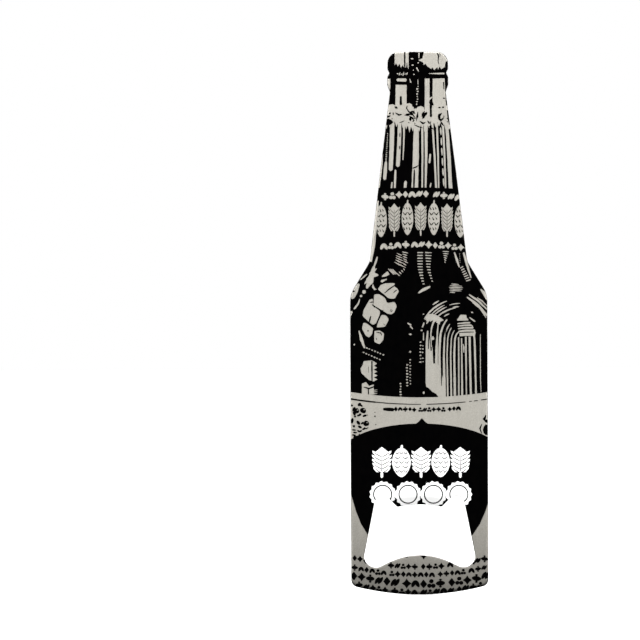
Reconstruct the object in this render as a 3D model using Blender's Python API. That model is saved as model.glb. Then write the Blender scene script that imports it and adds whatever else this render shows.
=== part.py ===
"""Souvenir bottle opener: a flat stainless-steel stamping in the outline of a
long-neck bottle, with a cap window near its base and a pry tooth that is
bent out of the plate, printed on one face in black and in white ink.

Frame: metres, +Z from the base of the bottle to its mouth, +X across the
width, the printed face looks along -Y and the pry tooth stands out towards
+Y.  The origin is the centre of the bottom of the bounding box.
"""
import math

import bmesh
import bpy
from mathutils import Vector

MM = 0.001

# ------------------------------------------------------------ driving sizes
# All in millimetres. "_HALF" is half a width, "_Z" a height above the base.

PLATE_THICK = 2.0          # stamped sheet
EDGE_ROUND = 0.4           # broken edge all round the stamping
CHORD_ERROR = 0.02         # flattening error of every arc

# bottle outline, base to mouth
LENGTH = 158.0
BODY_HALF = 20.0
BASE_ARC_R = 75.0          # bottom edge is one shallow arc
BASE_ARC_HALF_ANGLE = math.radians(13.9)
BASE_CORNER_R = 2.2
SHOULDER_Z = 87.4          # straight side turns in to the shoulder
SHOULDER_R = 8.0
NECK_FOOT_HALF = 14.2      # shoulder runs out into the neck
NECK_FOOT_Z = 96.9
NECK_FOOT_R = 6.0
NECK_MID_HALF = 10.98      # the neck is very slightly bellied
NECK_MID_Z = 124.0
NECK_MID_R = 400.0
THROAT_HALF = 8.15         # narrowest place, just under the mouth ring
THROAT_Z = 146.3
THROAT_R = 1.6
RING_HALF = 8.9            # rounded ring under the crown
RING_LOW_Z = 148.4
RING_HIGH_Z = 150.6
RING_R = 0.9
GROOVE_HALF = 8.3          # groove between ring and crown
GROOVE_Z = 151.8
GROOVE_R = 0.6
CROWN_HALF = 8.85          # crown of the mouth
CROWN_LOW_Z = 153.0
CROWN_LOW_R = 1.0
CROWN_TOP_R = 3.5

# cap window, from the bottom centre up to the tooth
HUMP_Z = 11.5              # fulcrum, the cap's top rests on it
HUMP_R = 20.0
HUMP_CORNER_X = 4.6
LOBE_LOW_X = 12.0          # lower lobes left and right of the fulcrum
LOBE_LOW_Z = 7.95
LOBE_LOW_R = 3.6
LOBE_SIDE_X = 16.75
LOBE_SIDE_Z = 8.2
LOBE_SIDE_R = 3.2
LOBE_TOP_Z = 28.7          # upper lobes beside the tooth
LOBE_TOP_X = 12.7
LOBE_TOP_R = 2.2
FLANK_TOP_X = 9.6
FLANK_R = 2.1
TIP_X = 6.45               # corners of the tooth
TIP_Z = 25.5
TIP_R = 0.7
TOOTH_EDGE_Z = 26.2        # middle of the tooth's hollow edge
TOOTH_EDGE_R = 29.0
TOOTH_CORNER_X = 2.95

# forming of the tooth: the plate turns away along an arc that is concentric
# with the tooth's edge, and then runs straight
TOOTH_ROOT_R = 32.4        # radius of the line where the bend begins
BEND_LENGTH = 1.2          # length of the rounded part of the bend
TOOTH_SLOPE = math.tan(math.radians(35.0))
TOOTH_ZONE_HALF = 10.5     # only the plate between the upper lobes is formed

# ink
INK_THICK = 0.06
INK_GAP = 0.02             # between steel and ink
INK_MARGIN = 0.45          # bare rim left at every edge
WHITE_HALF = 13.6          # white ink covers this patch of the badge
WHITE_LOW_Z = 30.4
WHITE_HIGH_Z = 42.4
WHITE_CORNER_R = 0.8
WHITE_TONGUE_HALF = 5.6    # and runs down over the tooth
WHITE_TONGUE_Z = 27.4
WHITE_GAP = 0.1            # between the black ink and the white

TOOTH_ARC_Z = TOOTH_EDGE_Z - TOOTH_EDGE_R      # centre of the tooth's arcs


# ---------------------------------------------------------------- outlines
def fillet(corners, close_start, close_end):
    """Points of a path whose corners (x, z, radius) are rounded by arcs."""
    points = [Vector(close_start)]
    spots = [Vector(close_start)] + [Vector(c[:2]) for c in corners] + [Vector(close_end)]
    free = [(b - a).length for a, b in zip(spots, spots[1:])]
    for i, (x, z, radius) in enumerate(corners, start=1):
        here = spots[i]
        before = (spots[i - 1] - here).normalized()
        after = (spots[i + 1] - here).normalized()
        turn = math.pi - before.angle(after)
        reach = radius * math.tan(turn / 2)
        free[i - 1] -= reach
        free[i] -= reach
        if min(free[i - 1], free[i]) < -0.001:
            raise ValueError(f"the radius at corner {i} is too large for its sides")
        start = here + before * reach
        middle = here + (before + after).normalized() * (radius / math.cos(turn / 2))
        step = 2 * math.acos(1 - min(CHORD_ERROR / radius, 0.5))
        count = max(2, math.ceil(turn / step))
        arm = start - middle
        side = 1 if (start - here).cross(after) < 0 else -1
        for k in range(count + 1):
            angle = side * turn * k / count
            turned = Vector((arm.x * math.cos(angle) - arm.y * math.sin(angle),
                             arm.x * math.sin(angle) + arm.y * math.cos(angle)))
            points.append(middle + turned)
    points.append(Vector(close_end))
    clean = [points[0]]
    for point in points[1:]:
        if (point - clean[-1]).length > 0.02:
            clean.append(point)
    return clean


def mirrored(half):
    """A closed outline from its right half, which starts and ends on x = 0."""
    return half + [Vector((-p.x, p.y)) for p in reversed(half[1:-1])]


def bottle_outline():
    base_corner_x = BASE_ARC_R * math.tan(BASE_ARC_HALF_ANGLE / 2)
    base_corner_z = (BODY_HALF - base_corner_x) * math.tan(BASE_ARC_HALF_ANGLE)
    corners = [
        (base_corner_x, 0.0, BASE_ARC_R),
        (BODY_HALF, base_corner_z, BASE_CORNER_R),
        (BODY_HALF, SHOULDER_Z, SHOULDER_R),
        (NECK_FOOT_HALF, NECK_FOOT_Z, NECK_FOOT_R),
        (NECK_MID_HALF, NECK_MID_Z, NECK_MID_R),
        (THROAT_HALF, THROAT_Z, THROAT_R),
        (RING_HALF, RING_LOW_Z, RING_R),
        (RING_HALF, RING_HIGH_Z, RING_R),
        (GROOVE_HALF, GROOVE_Z, GROOVE_R),
        (CROWN_HALF, CROWN_LOW_Z, CROWN_LOW_R),
        (CROWN_HALF, LENGTH, CROWN_TOP_R),
    ]
    return mirrored(fillet(corners, (0.0, 0.0), (0.0, LENGTH)))


def window_outline():
    corners = [
        (HUMP_CORNER_X, HUMP_Z, HUMP_R),
        (LOBE_LOW_X, LOBE_LOW_Z, LOBE_LOW_R),
        (LOBE_SIDE_X, LOBE_SIDE_Z, LOBE_SIDE_R),
        (LOBE_TOP_X, LOBE_TOP_Z, LOBE_TOP_R),
        (FLANK_TOP_X, LOBE_TOP_Z, FLANK_R),
        (TIP_X, TIP_Z, TIP_R),
        (TOOTH_CORNER_X, TOOTH_EDGE_Z, TOOTH_EDGE_R),
    ]
    return mirrored(fillet(corners, (0.0, HUMP_Z), (0.0, TOOTH_EDGE_Z)))


def white_outline(grow):
    """The white patch, with every side moved out by grow."""
    corners = [
        (WHITE_TONGUE_HALF + grow, WHITE_TONGUE_Z - grow, WHITE_CORNER_R + grow),
        (WHITE_TONGUE_HALF + grow, WHITE_LOW_Z - grow, WHITE_CORNER_R - grow),
        (WHITE_HALF + grow, WHITE_LOW_Z - grow, WHITE_CORNER_R + grow),
        (WHITE_HALF + grow, WHITE_HIGH_Z + grow, WHITE_CORNER_R + grow),
    ]
    return mirrored(fillet(corners, (0.0, WHITE_TONGUE_Z - grow),
                           (0.0, WHITE_HIGH_Z + grow)))


# ----------------------------------------------------------------- forming
def tooth_drop(x, z):
    """How far the formed tooth has left the plate's plane at (x, z), in mm."""
    if abs(x) > TOOTH_ZONE_HALF or z < TOOTH_EDGE_Z - 6.0:
        return 0.0
    run = TOOTH_ROOT_R - math.hypot(x, z - TOOTH_ARC_Z)
    if run <= 0.0:
        return 0.0
    if run < BEND_LENGTH:
        return TOOTH_SLOPE * run * run / (2 * BEND_LENGTH)
    return TOOTH_SLOPE * (run - BEND_LENGTH / 2)


def cut_lines(bm, low, high, count, axis, keep):
    """Cut the faces that keep() accepts by count planes across one axis."""
    for k in range(count):
        at = low + (high - low) * k / (count - 1)
        faces = [f for f in bm.faces if keep(f.calc_center_median())]
        edges = {e for f in faces for e in f.edges}
        verts = {v for f in faces for v in f.verts}
        spot = [0.0, 0.0, 0.0]
        spot[axis] = at * MM
        normal = [0.0, 0.0, 0.0]
        normal[axis] = 1.0
        bmesh.ops.bisect_plane(bm, geom=list(verts) + list(edges) + faces,
                               dist=0.02 * MM, plane_co=spot, plane_no=normal)


def form_tooth(mesh):
    """Bend the tooth of a flat piece that lies in its own x-y plane."""
    top = TOOTH_ARC_Z + TOOTH_ROOT_R
    low = TIP_Z - 0.6
    bm = bmesh.new()
    bm.from_mesh(mesh)
    cut_lines(bm, low, top, 13, 1,
              lambda c: abs(c.x) < 18 * MM and c.y > 20 * MM)
    cut_lines(bm, -TOOTH_ZONE_HALF + 1.4, TOOTH_ZONE_HALF - 1.4, 13, 0,
              lambda c: abs(c.x) < 11 * MM and low * MM < c.y < top * MM)
    for vert in bm.verts:
        vert.co.z -= tooth_drop(vert.co.x / MM, vert.co.y / MM) * MM
    bmesh.ops.triangulate(bm, faces=[f for f in bm.faces if len(f.verts) > 3])
    bmesh.ops.recalc_face_normals(bm, faces=bm.faces)
    bm.to_mesh(mesh)
    bm.free()


# ------------------------------------------------------------------ pieces
def flat_piece(name, outlines, thickness, bevel, inset, material, parent, y):
    """An upright plate whose middle plane is at y, made from 2D outlines."""
    curve = bpy.data.curves.new(name + "_outline", "CURVE")
    curve.dimensions = "2D"
    curve.fill_mode = "BOTH"
    curve.extrude = (thickness / 2 - bevel) * MM
    curve.bevel_depth = bevel * MM
    curve.bevel_resolution = 0
    curve.offset = -(inset + bevel) * MM
    for number, outline in enumerate(outlines):
        path = outline if number == 0 else list(reversed(outline))
        spline = curve.splines.new("POLY")
        spline.points.add(len(path) - 1)
        for point, spot in zip(spline.points, path):
            point.co = (spot.x * MM, spot.y * MM, 0.0, 1.0)
        spline.use_cyclic_u = True
    drawn = bpy.data.objects.new(name + "_outline", curve)
    parts.objects.link(drawn)
    drawn.location = (0.0, y * MM, 0.0)
    drawn.rotation_euler = (math.radians(90.0), 0.0, 0.0)
    bpy.context.view_layer.update()
    seen = drawn.evaluated_get(bpy.context.evaluated_depsgraph_get())
    mesh = bpy.data.meshes.new_from_object(seen)
    mesh.name = name
    placed = drawn.matrix_world.copy()
    bpy.data.objects.remove(drawn, do_unlink=True)

    bm = bmesh.new()
    bm.from_mesh(mesh)
    bmesh.ops.remove_doubles(bm, verts=bm.verts, dist=0.004 * MM)
    bm.to_mesh(mesh)
    bm.free()
    form_tooth(mesh)

    piece = bpy.data.objects.new(name, mesh)
    piece.matrix_world = placed
    parts.objects.link(piece)
    piece.parent = parent
    mesh.materials.clear()
    mesh.materials.append(material)
    return piece


def principled(name, colour, roughness, metallic):
    material = bpy.data.materials.new(name)
    material.use_nodes = True
    shader = material.node_tree.nodes["Principled BSDF"]
    shader.inputs["Base Color"].default_value = (*colour, 1.0)
    shader.inputs["Roughness"].default_value = roughness
    shader.inputs["Metallic"].default_value = metallic
    return material


for leftover in list(bpy.data.objects):
    bpy.data.objects.remove(leftover, do_unlink=True)

parts = bpy.data.collections.new("souvenir_bottle_opener")
bpy.context.scene.collection.children.link(parts)

stand = bpy.data.objects.new("opener_frame", None)
stand.empty_display_size = 20 * MM
parts.objects.link(stand)

steel = principled("brushed_steel", (0.55, 0.53, 0.48), 0.38, 1.0)
black = principled("black_ink", (0.006, 0.006, 0.006), 0.35, 0.0)
white = principled("white_ink", (0.86, 0.86, 0.85), 0.40, 0.0)

# the tooth's back edge and the front of the ink bound the depth, and the
# middle of that depth is y = 0
edge_run = TOOTH_ROOT_R - TOOTH_EDGE_R
back_of_tooth = max(
    PLATE_THICK + TOOTH_SLOPE * (edge_run - EDGE_ROUND - BEND_LENGTH / 2),
    PLATE_THICK - EDGE_ROUND + TOOTH_SLOPE * (edge_run - BEND_LENGTH / 2))
ink_front = INK_GAP + INK_THICK
front_y = -(back_of_tooth - ink_front) / 2
ink_y = front_y - INK_GAP - INK_THICK / 2

body = flat_piece("opener_body", [bottle_outline(), window_outline()],
                  PLATE_THICK, EDGE_ROUND, 0.0, steel, stand,
                  front_y + PLATE_THICK / 2)
black_ink = flat_piece("black_ink",
                       [bottle_outline(), window_outline(),
                        white_outline(WHITE_GAP - INK_MARGIN)],
                       INK_THICK, 0.0, INK_MARGIN, black, stand, ink_y)
white_ink = flat_piece("white_ink", [white_outline(0.0)],
                       INK_THICK, 0.0, 0.0, white, stand, ink_y)
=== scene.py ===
"""Looks of the souvenir bottle opener: brushed steel, woodcut print, studio."""
import math
import random

import bmesh
import bpy
import numpy as np
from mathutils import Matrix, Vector
from mathutils.geometry import delaunay_2d_cdt


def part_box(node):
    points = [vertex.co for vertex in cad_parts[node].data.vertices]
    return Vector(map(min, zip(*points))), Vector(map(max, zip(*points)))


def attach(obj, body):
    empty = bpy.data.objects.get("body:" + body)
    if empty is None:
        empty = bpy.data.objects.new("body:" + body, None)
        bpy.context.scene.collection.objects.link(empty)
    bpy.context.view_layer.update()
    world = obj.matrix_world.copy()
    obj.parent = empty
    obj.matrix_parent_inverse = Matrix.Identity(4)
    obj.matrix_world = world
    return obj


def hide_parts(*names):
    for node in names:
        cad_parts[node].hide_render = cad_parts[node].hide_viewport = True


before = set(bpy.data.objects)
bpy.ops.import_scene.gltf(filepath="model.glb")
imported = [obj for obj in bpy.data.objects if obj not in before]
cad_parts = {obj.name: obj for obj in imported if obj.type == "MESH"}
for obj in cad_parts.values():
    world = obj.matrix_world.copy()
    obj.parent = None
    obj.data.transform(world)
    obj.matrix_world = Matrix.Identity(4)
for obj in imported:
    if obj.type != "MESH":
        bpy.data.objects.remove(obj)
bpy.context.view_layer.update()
MM = 0.001

# ------------------------------------------------- the CAD's own dimensions
# millimetres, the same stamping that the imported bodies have
PLATE_THICK = 2.0
CHORD_ERROR = 0.004
LENGTH = 158.0
BODY_HALF = 20.0
BASE_ARC_R = 75.0
BASE_ARC_HALF_ANGLE = math.radians(13.9)
BASE_CORNER_R = 2.2
SHOULDER_Z, SHOULDER_R = 87.4, 8.0
NECK_FOOT_HALF, NECK_FOOT_Z, NECK_FOOT_R = 14.2, 96.9, 6.0
NECK_MID_HALF, NECK_MID_Z, NECK_MID_R = 10.98, 124.0, 400.0
THROAT_HALF, THROAT_Z, THROAT_R = 8.15, 146.3, 1.6
RING_HALF, RING_LOW_Z, RING_HIGH_Z, RING_R = 8.9, 148.4, 150.6, 0.9
GROOVE_HALF, GROOVE_Z, GROOVE_R = 8.3, 151.8, 0.6
CROWN_HALF, CROWN_LOW_Z, CROWN_LOW_R, CROWN_TOP_R = 8.85, 153.0, 1.0, 3.5
HUMP_Z, HUMP_R, HUMP_CORNER_X = 11.5, 20.0, 4.6
LOBE_LOW_X, LOBE_LOW_Z, LOBE_LOW_R = 12.0, 7.95, 3.6
LOBE_SIDE_X, LOBE_SIDE_Z, LOBE_SIDE_R = 16.75, 8.2, 3.2
LOBE_TOP_X, LOBE_TOP_Z, LOBE_TOP_R = 12.7, 28.7, 2.2
FLANK_TOP_X, FLANK_R = 9.6, 2.1
TIP_X, TIP_Z, TIP_R = 6.45, 25.5, 0.7
TOOTH_EDGE_Z, TOOTH_EDGE_R, TOOTH_CORNER_X = 26.2, 29.0, 2.95
TOOTH_ROOT_R = 32.4
BEND_LENGTH = 1.2
TOOTH_SLOPE = math.tan(math.radians(35.0))
TOOTH_ZONE_HALF = 10.5
TOOTH_ARC_Z = TOOTH_EDGE_Z - TOOTH_EDGE_R

body_lo, body_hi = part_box("opener_body")
FRONT_Y = body_lo[1] / MM              # the printed face of the steel
BACK_Y = FRONT_Y + PLATE_THICK

# edges as the tumbled stamping has them, and the ink's build-up
ROLL_FRONT = 0.42          # rounding of the front edge
ROLL_BASE = 1.05           # wider roll along the base, where the die entered
ROLL_BACK = 0.30
ROLL_TOOTH = 0.58          # the tooth's back edge is blunter
ROLL_STEPS = 7
INK_GAP = 0.005
INK_THICK = 0.05


# ---------------------------------------------------------------- outlines
def fillet(corners, first, last, chord=CHORD_ERROR, longest=4.0):
    points = [Vector(first)]
    spots = [Vector(first)] + [Vector(c[:2]) for c in corners] + [Vector(last)]
    for i, (x, z, radius) in enumerate(corners, start=1):
        here = spots[i]
        before = (spots[i - 1] - here).normalized()
        after = (spots[i + 1] - here).normalized()
        turn = math.pi - before.angle(after)
        reach = radius * math.tan(turn / 2)
        start = here + before * reach
        middle = here + (before + after).normalized() * (radius / math.cos(turn / 2))
        step = 2 * math.acos(1 - min(chord / radius, 0.5))
        count = max(3, math.ceil(turn / step))
        arm = start - middle
        side = 1 if (start - here).cross(after) < 0 else -1
        for k in range(count + 1):
            angle = side * turn * k / count
            points.append(middle + Vector((
                arm.x * math.cos(angle) - arm.y * math.sin(angle),
                arm.x * math.sin(angle) + arm.y * math.cos(angle))))
    points.append(Vector(last))
    clean = [points[0]]
    for point in points[1:]:
        gap = (point - clean[-1]).length
        if gap < 0.02:
            continue
        pieces = max(1, math.ceil(gap / longest))
        origin = clean[-1].copy()
        for k in range(1, pieces + 1):
            clean.append(origin.lerp(point, k / pieces))
    return clean


def mirrored(half):
    return half + [Vector((-p.x, p.y)) for p in reversed(half[1:-1])]


def bottle_outline():
    base_x = BASE_ARC_R * math.tan(BASE_ARC_HALF_ANGLE / 2)
    base_z = (BODY_HALF - base_x) * math.tan(BASE_ARC_HALF_ANGLE)
    return mirrored(fillet([
        (base_x, 0.0, BASE_ARC_R), (BODY_HALF, base_z, BASE_CORNER_R),
        (BODY_HALF, SHOULDER_Z, SHOULDER_R),
        (NECK_FOOT_HALF, NECK_FOOT_Z, NECK_FOOT_R),
        (NECK_MID_HALF, NECK_MID_Z, NECK_MID_R),
        (THROAT_HALF, THROAT_Z, THROAT_R),
        (RING_HALF, RING_LOW_Z, RING_R), (RING_HALF, RING_HIGH_Z, RING_R),
        (GROOVE_HALF, GROOVE_Z, GROOVE_R),
        (CROWN_HALF, CROWN_LOW_Z, CROWN_LOW_R),
        (CROWN_HALF, LENGTH, CROWN_TOP_R)], (0.0, 0.0), (0.0, LENGTH)))


def window_outline():
    """Runs the other way round, so that steel is on the same hand of both."""
    half = fillet([
        (HUMP_CORNER_X, HUMP_Z, HUMP_R), (LOBE_LOW_X, LOBE_LOW_Z, LOBE_LOW_R),
        (LOBE_SIDE_X, LOBE_SIDE_Z, LOBE_SIDE_R),
        (LOBE_TOP_X, LOBE_TOP_Z, LOBE_TOP_R),
        (FLANK_TOP_X, LOBE_TOP_Z, FLANK_R), (TIP_X, TIP_Z, TIP_R),
        (TOOTH_CORNER_X, TOOTH_EDGE_Z, TOOTH_EDGE_R)],
        (0.0, HUMP_Z), (0.0, TOOTH_EDGE_Z), longest=1.0)
    return list(reversed(mirrored(half)))


def inward(path):
    """Unit normals of a closed path, towards the steel on its left."""
    found = []
    for i, point in enumerate(path):
        a = (point - path[i - 1]).normalized()
        b = (path[(i + 1) % len(path)] - point).normalized()
        mean = (a + b).normalized()
        normal = Vector((-mean.y, mean.x))
        found.append(normal / max(0.6, normal.dot(Vector((-a.y, a.x)))))
    return found


OUTER = bottle_outline()
WINDOW = window_outline()


def smooth_step(low, high, value):
    t = min(1.0, max(0.0, (value - low) / (high - low)))
    return t * t * (3 - 2 * t)


def roll_radius(point, is_outer):
    """Rounding of the front edge at a point of the outline."""
    if not is_outer:
        return ROLL_FRONT * 0.85 if point.y < 24.5 or abs(point.x) > 8 else ROLL_FRONT * 0.7
    return ROLL_FRONT + (ROLL_BASE - ROLL_FRONT) * (1 - smooth_step(2.2, 6.5, point.y))


PATHS = []
for path, is_outer in ((OUTER, True), (WINDOW, False)):
    PATHS.append({"points": path, "normals": inward(path),
                  "radii": [roll_radius(p, is_outer) for p in path]})


def inset(path, angle, radii=None):
    """The path moved in to where its rounding has turned through angle."""
    radii = radii or path["radii"]
    return [p + n * (r * (1 - math.cos(angle)))
            for p, n, r in zip(path["points"], path["normals"], radii)]


def tooth_drop(x, z):
    if abs(x) > TOOTH_ZONE_HALF or z < TOOTH_EDGE_Z - 6.0:
        return 0.0
    run = TOOTH_ROOT_R - math.hypot(x, z - TOOTH_ARC_Z)
    if run <= 0.0:
        return 0.0
    if run < BEND_LENGTH:
        return TOOTH_SLOPE * run * run / (2 * BEND_LENGTH)
    return TOOTH_SLOPE * (run - BEND_LENGTH / 2)


# nearest edge of the steel, for every point of a drawing at once
SEG_A = np.array([[*p] for s in PATHS for p in s["points"]])
SEG_B = np.array([[*s["points"][(i + 1) % len(s["points"])]]
                  for s in PATHS for i in range(len(s["points"]))])
SEG_RA = np.array([r for s in PATHS for r in s["radii"]])
SEG_RB = np.array([s["radii"][(i + 1) % len(s["radii"])]
                   for s in PATHS for i in range(len(s["radii"]))])


def edge_distance(points):
    """Distance to the nearest outline, and the rounding there."""
    points = np.asarray(points, dtype=float)
    line = SEG_B - SEG_A
    square = (line ** 2).sum(1)
    far, radius = np.empty(len(points)), np.empty(len(points))
    for start in range(0, len(points), 500):
        block = points[start:start + 500]
        rel = block[:, None, :] - SEG_A[None]
        t = np.clip((rel * line[None]).sum(2) / square[None], 0, 1)
        gap = np.linalg.norm(rel - t[..., None] * line[None], axis=2)
        best = gap.argmin(1)
        rows = np.arange(len(block))
        far[start:start + 500] = gap[rows, best]
        tt = t[rows, best]
        radius[start:start + 500] = SEG_RA[best] * (1 - tt) + SEG_RB[best] * tt
    return far, radius


def front_surface(points):
    """y of the front face of the steel, in mm, at each (x, z)."""
    far, radius = edge_distance(points)
    inside = np.minimum(far, radius)
    roll = radius - np.sqrt(np.maximum(radius ** 2 - (radius - inside) ** 2, 0.0))
    drop = np.array([tooth_drop(x, z) for x, z in points])
    return FRONT_Y + roll + drop


# ----------------------------------------------------------------- meshing
def inside(path, point):
    crossings = 0
    for a, b in zip(path, path[1:] + path[:1]):
        if (a.y > point.y) != (b.y > point.y):
            if point.x < a.x + (b.x - a.x) * (point.y - a.y) / (b.y - a.y):
                crossings += 1
    return crossings % 2 == 1


def tooth_lines():
    """Arcs across the tooth that the mesh follows, clear of every edge."""
    lines = []
    radius = TOOTH_EDGE_R + 0.55
    while radius < TOOTH_ROOT_R + 0.35:
        half = math.asin(9.6 / radius)
        arc = [Vector((radius * math.sin(half * k / 24),
                       TOOTH_ARC_Z + radius * math.cos(half * k / 24)))
               for k in range(-24, 25)]
        far, _ = edge_distance([(p.x, p.y) for p in arc])
        run = []
        for p, d in zip(arc, far):
            if d > 0.62 and not inside(WINDOW, p):
                run.append(p)
            elif len(run) > 1:
                lines.append(run)
                run = []
            else:
                run = []
        if len(run) > 1:
            lines.append(run)
        radius += 0.2
    return lines


def turning(loop):
    """Twice the signed area, above zero when the loop runs anticlockwise."""
    return sum(a.x * b.y - b.x * a.y for a, b in zip(loop, loop[1:] + loop[:1]))


def triangulate(faces, open_lines=(), loose=(), epsilon=1e-5):
    verts, edges, loops = [], [], []
    for face in faces:
        if turning(face) < 0:
            face = list(reversed(face))
        loops.append(list(range(len(verts), len(verts) + len(face))))
        verts.extend(face)
    for line in open_lines:
        start = len(verts)
        verts.extend(line)
        edges.extend((k, k + 1) for k in range(start, start + len(line) - 1))
    verts.extend(loose)
    out = delaunay_2d_cdt(verts, edges, loops, 1, epsilon, True)
    return out[0], out[2], out[5]


def mesh_object(name, verts, faces, material, smooth=True):
    mesh = bpy.data.meshes.new(name)
    mesh.from_pydata(verts, [], faces)
    mesh.validate(clean_customdata=False)
    obj = bpy.data.objects.new(name, mesh)
    bpy.context.scene.collection.objects.link(obj)
    mesh.materials.append(material)
    mesh.polygons.foreach_set("use_smooth", [smooth] * len(mesh.polygons))
    mesh.update()
    return obj


def steel_body(material):
    """The stamping with its rolled edges and its formed tooth."""
    verts, faces = [], []

    def add(ring, ys):
        start = len(verts)
        for p, y in zip(ring, ys):
            verts.append((p.x * MM, (y + tooth_drop(p.x, p.y)) * MM, p.y * MM))
        return list(range(start, start + len(ring)))

    def bridge(a, b):
        n = len(a)
        for i in range(n):
            j = (i + 1) % n
            faces.append((a[i], a[j], b[j], b[i]))

    front_faces, back_faces = [], []
    guard_front, guard_back = [], []
    for path in PATHS:
        back_radii = [ROLL_TOOTH if abs(p.x) < 9 and 24 < p.y < 28 else ROLL_BACK
                      for p in path["points"]]
        rings = []
        for k in range(ROLL_STEPS + 1):
            angle = math.pi / 2 * (1 - k / ROLL_STEPS)
            ring = inset(path, angle)
            rings.append(add(ring, [FRONT_Y + r * (1 - math.sin(angle))
                                    for r in path["radii"]]))
            if k == 0:
                front_faces.append(ring)
                guard_front.append([p + n * 0.12 for p, n in zip(ring, path["normals"])])
        for k in range(ROLL_STEPS + 1):
            angle = math.pi / 2 * k / ROLL_STEPS
            ring = inset(path, angle, back_radii)
            rings.append(add(ring, [BACK_Y - r * (1 - math.sin(angle))
                                    for r in back_radii]))
            if k == ROLL_STEPS:
                back_faces.append(ring)
                guard_back.append([p + n * 0.12 for p, n in zip(ring, path["normals"])])
        for a, b in zip(rings, rings[1:]):
            bridge(a, b)

    grid = [Vector((x, z)) for z in np.arange(34.0, 156.0, 4.0)
            for x in np.arange(-18.0, 18.1, 4.0)]
    for loops, guards, y, flip in ((front_faces, guard_front, FRONT_Y, False),
                                   (back_faces, guard_back, BACK_Y, True)):
        lines = [g + [g[0]] for g in guards] + tooth_lines()
        points, tris, owners = triangulate(loops, lines, grid)
        start = len(verts)
        for p in points:
            verts.append((p.x * MM, (y + tooth_drop(p.x, p.y)) * MM, p.y * MM))
        for tri, owner in zip(tris, owners):
            if 0 not in owner or 1 in owner:
                continue
            tri = [start + i for i in tri]
            faces.append(tuple(reversed(tri)) if flip else tuple(tri))
    obj = mesh_object("steel_stamping", verts, faces, material)
    bm = bmesh.new()
    bm.from_mesh(obj.data)
    bmesh.ops.remove_doubles(bm, verts=bm.verts, dist=0.002 * MM)
    loose = [v for v in bm.verts if not v.link_faces]
    bmesh.ops.delete(bm, geom=loose, context="VERTS")
    bmesh.ops.recalc_face_normals(bm, faces=bm.faces)
    open_edges = sum(1 for e in bm.edges if not e.is_manifold)
    bm.to_mesh(obj.data)
    bm.free()
    print("steel: open edges", open_edges, "faces", len(obj.data.polygons))

    spots = [(v.co.x / MM, v.co.z / MM) for v in obj.data.vertices]
    far, radius = edge_distance(spots)
    rim = obj.data.attributes.new("rim", "FLOAT", "POINT")
    tooth = obj.data.attributes.new("tooth", "FLOAT", "POINT")
    rims, teeth = [], []
    for (x, z), d, r in zip(spots, far, radius):
        # rim: a mask for painted shade on the rolled edges, reaching further in along the base
        reach = 0.40 + 0.75 * (1 - smooth_step(2.0, 6.0, z))
        rims.append(1 - smooth_step(0.0, reach, d))
        # tooth: a mask for painted shade on the bent tooth
        run = TOOTH_ROOT_R - math.hypot(x, z - TOOTH_ARC_Z)
        on = abs(x) < TOOTH_ZONE_HALF and 20 < z < 32
        teeth.append(smooth_step(-0.1, 0.8, run) if on else 0.0)
    rim.data.foreach_set("value", rims)
    tooth.data.foreach_set("value", teeth)
    return obj


# ------------------------------------------------------------- the drawing
# The print is laid out on a square grid: GRID is one step of it in mm, u
# counts from the centre line to the right and v from the base upwards.
GRID = 0.2909
LEAN = 0.0042                    # the opener lies turned by this much, in radians
LIGHT, BLACK, WHITE = "light", "black", "white"
drawing = []                     # (polygon in mm, tone), later ones on top
dice = random.Random(41)


def lay(tone, polygon):
    """Adds a shape given in grid steps."""
    points = [Vector(((u + LEAN * v - 0.7) * GRID, (v - LEAN * u) * GRID)) for u, v in polygon]
    clean = []
    for p in points:
        if not clean or (p - clean[-1]).length > 0.01:
            clean.append(p)
    if (clean[0] - clean[-1]).length < 0.01:
        clean.pop()
    if len(clean) > 2:
        drawing.append((clean, tone))


def stroke(tone, spine, widths, wobble=0.0, pieces=None, round_ends=True):
    """A cut line along a spine, with its own width at each spine point."""
    spine = [Vector(s) for s in spine]
    lengths = [0.0]
    for a, b in zip(spine, spine[1:]):
        lengths.append(lengths[-1] + (b - a).length)
    total = lengths[-1]
    if total < 1e-6:
        return
    pieces = pieces or max(2, min(24, int(total / 3) + 1))
    if not isinstance(widths, (list, tuple)):
        widths = [widths, widths]
    left, right = [], []
    for k in range(pieces + 1):
        t = k / pieces
        at = t * total
        i = 0
        while i < len(spine) - 2 and lengths[i + 1] < at:
            i += 1
        f = (at - lengths[i]) / max(1e-9, lengths[i + 1] - lengths[i])
        here = spine[i].lerp(spine[i + 1], f)
        along = (spine[i + 1] - spine[i]).normalized()
        j = min(int(t * (len(widths) - 1)), len(widths) - 2)
        g = t * (len(widths) - 1) - j
        half = (widths[j] * (1 - g) + widths[j + 1] * g) / 2
        across = Vector((-along.y, along.x))
        left.append(here + across * (half * (1 + dice.uniform(-wobble, wobble))))
        right.append(here - across * (half * (1 + dice.uniform(-wobble, wobble))))
    if round_ends:
        tip = (spine[-1] - spine[-2]).normalized() * (widths[-1] * 0.42)
        tail = (spine[0] - spine[1]).normalized() * (widths[0] * 0.42)
        polygon = left + [spine[-1] + tip] + list(reversed(right)) + [spine[0] + tail]
    else:
        polygon = left + list(reversed(right))
    lay(tone, polygon)


def blob(tone, u, v, ru, rv, count=10, wobble=0.0, turn=0.0):
    ring = []
    for k in range(count):
        a = 2 * math.pi * k / count + turn
        s = 1 + dice.uniform(-wobble, wobble)
        ring.append((u + ru * s * math.cos(a), v + rv * s * math.sin(a)))
    lay(tone, ring)


def box(tone, u0, v0, u1, v1, wobble=0.0):
    def w():
        return dice.uniform(-wobble, wobble)
    lay(tone, [(u0 + w(), v0 + w()), (u1 + w(), v0 + w()),
               (u1 + w(), v1 + w()), (u0 + w(), v1 + w())])


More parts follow.
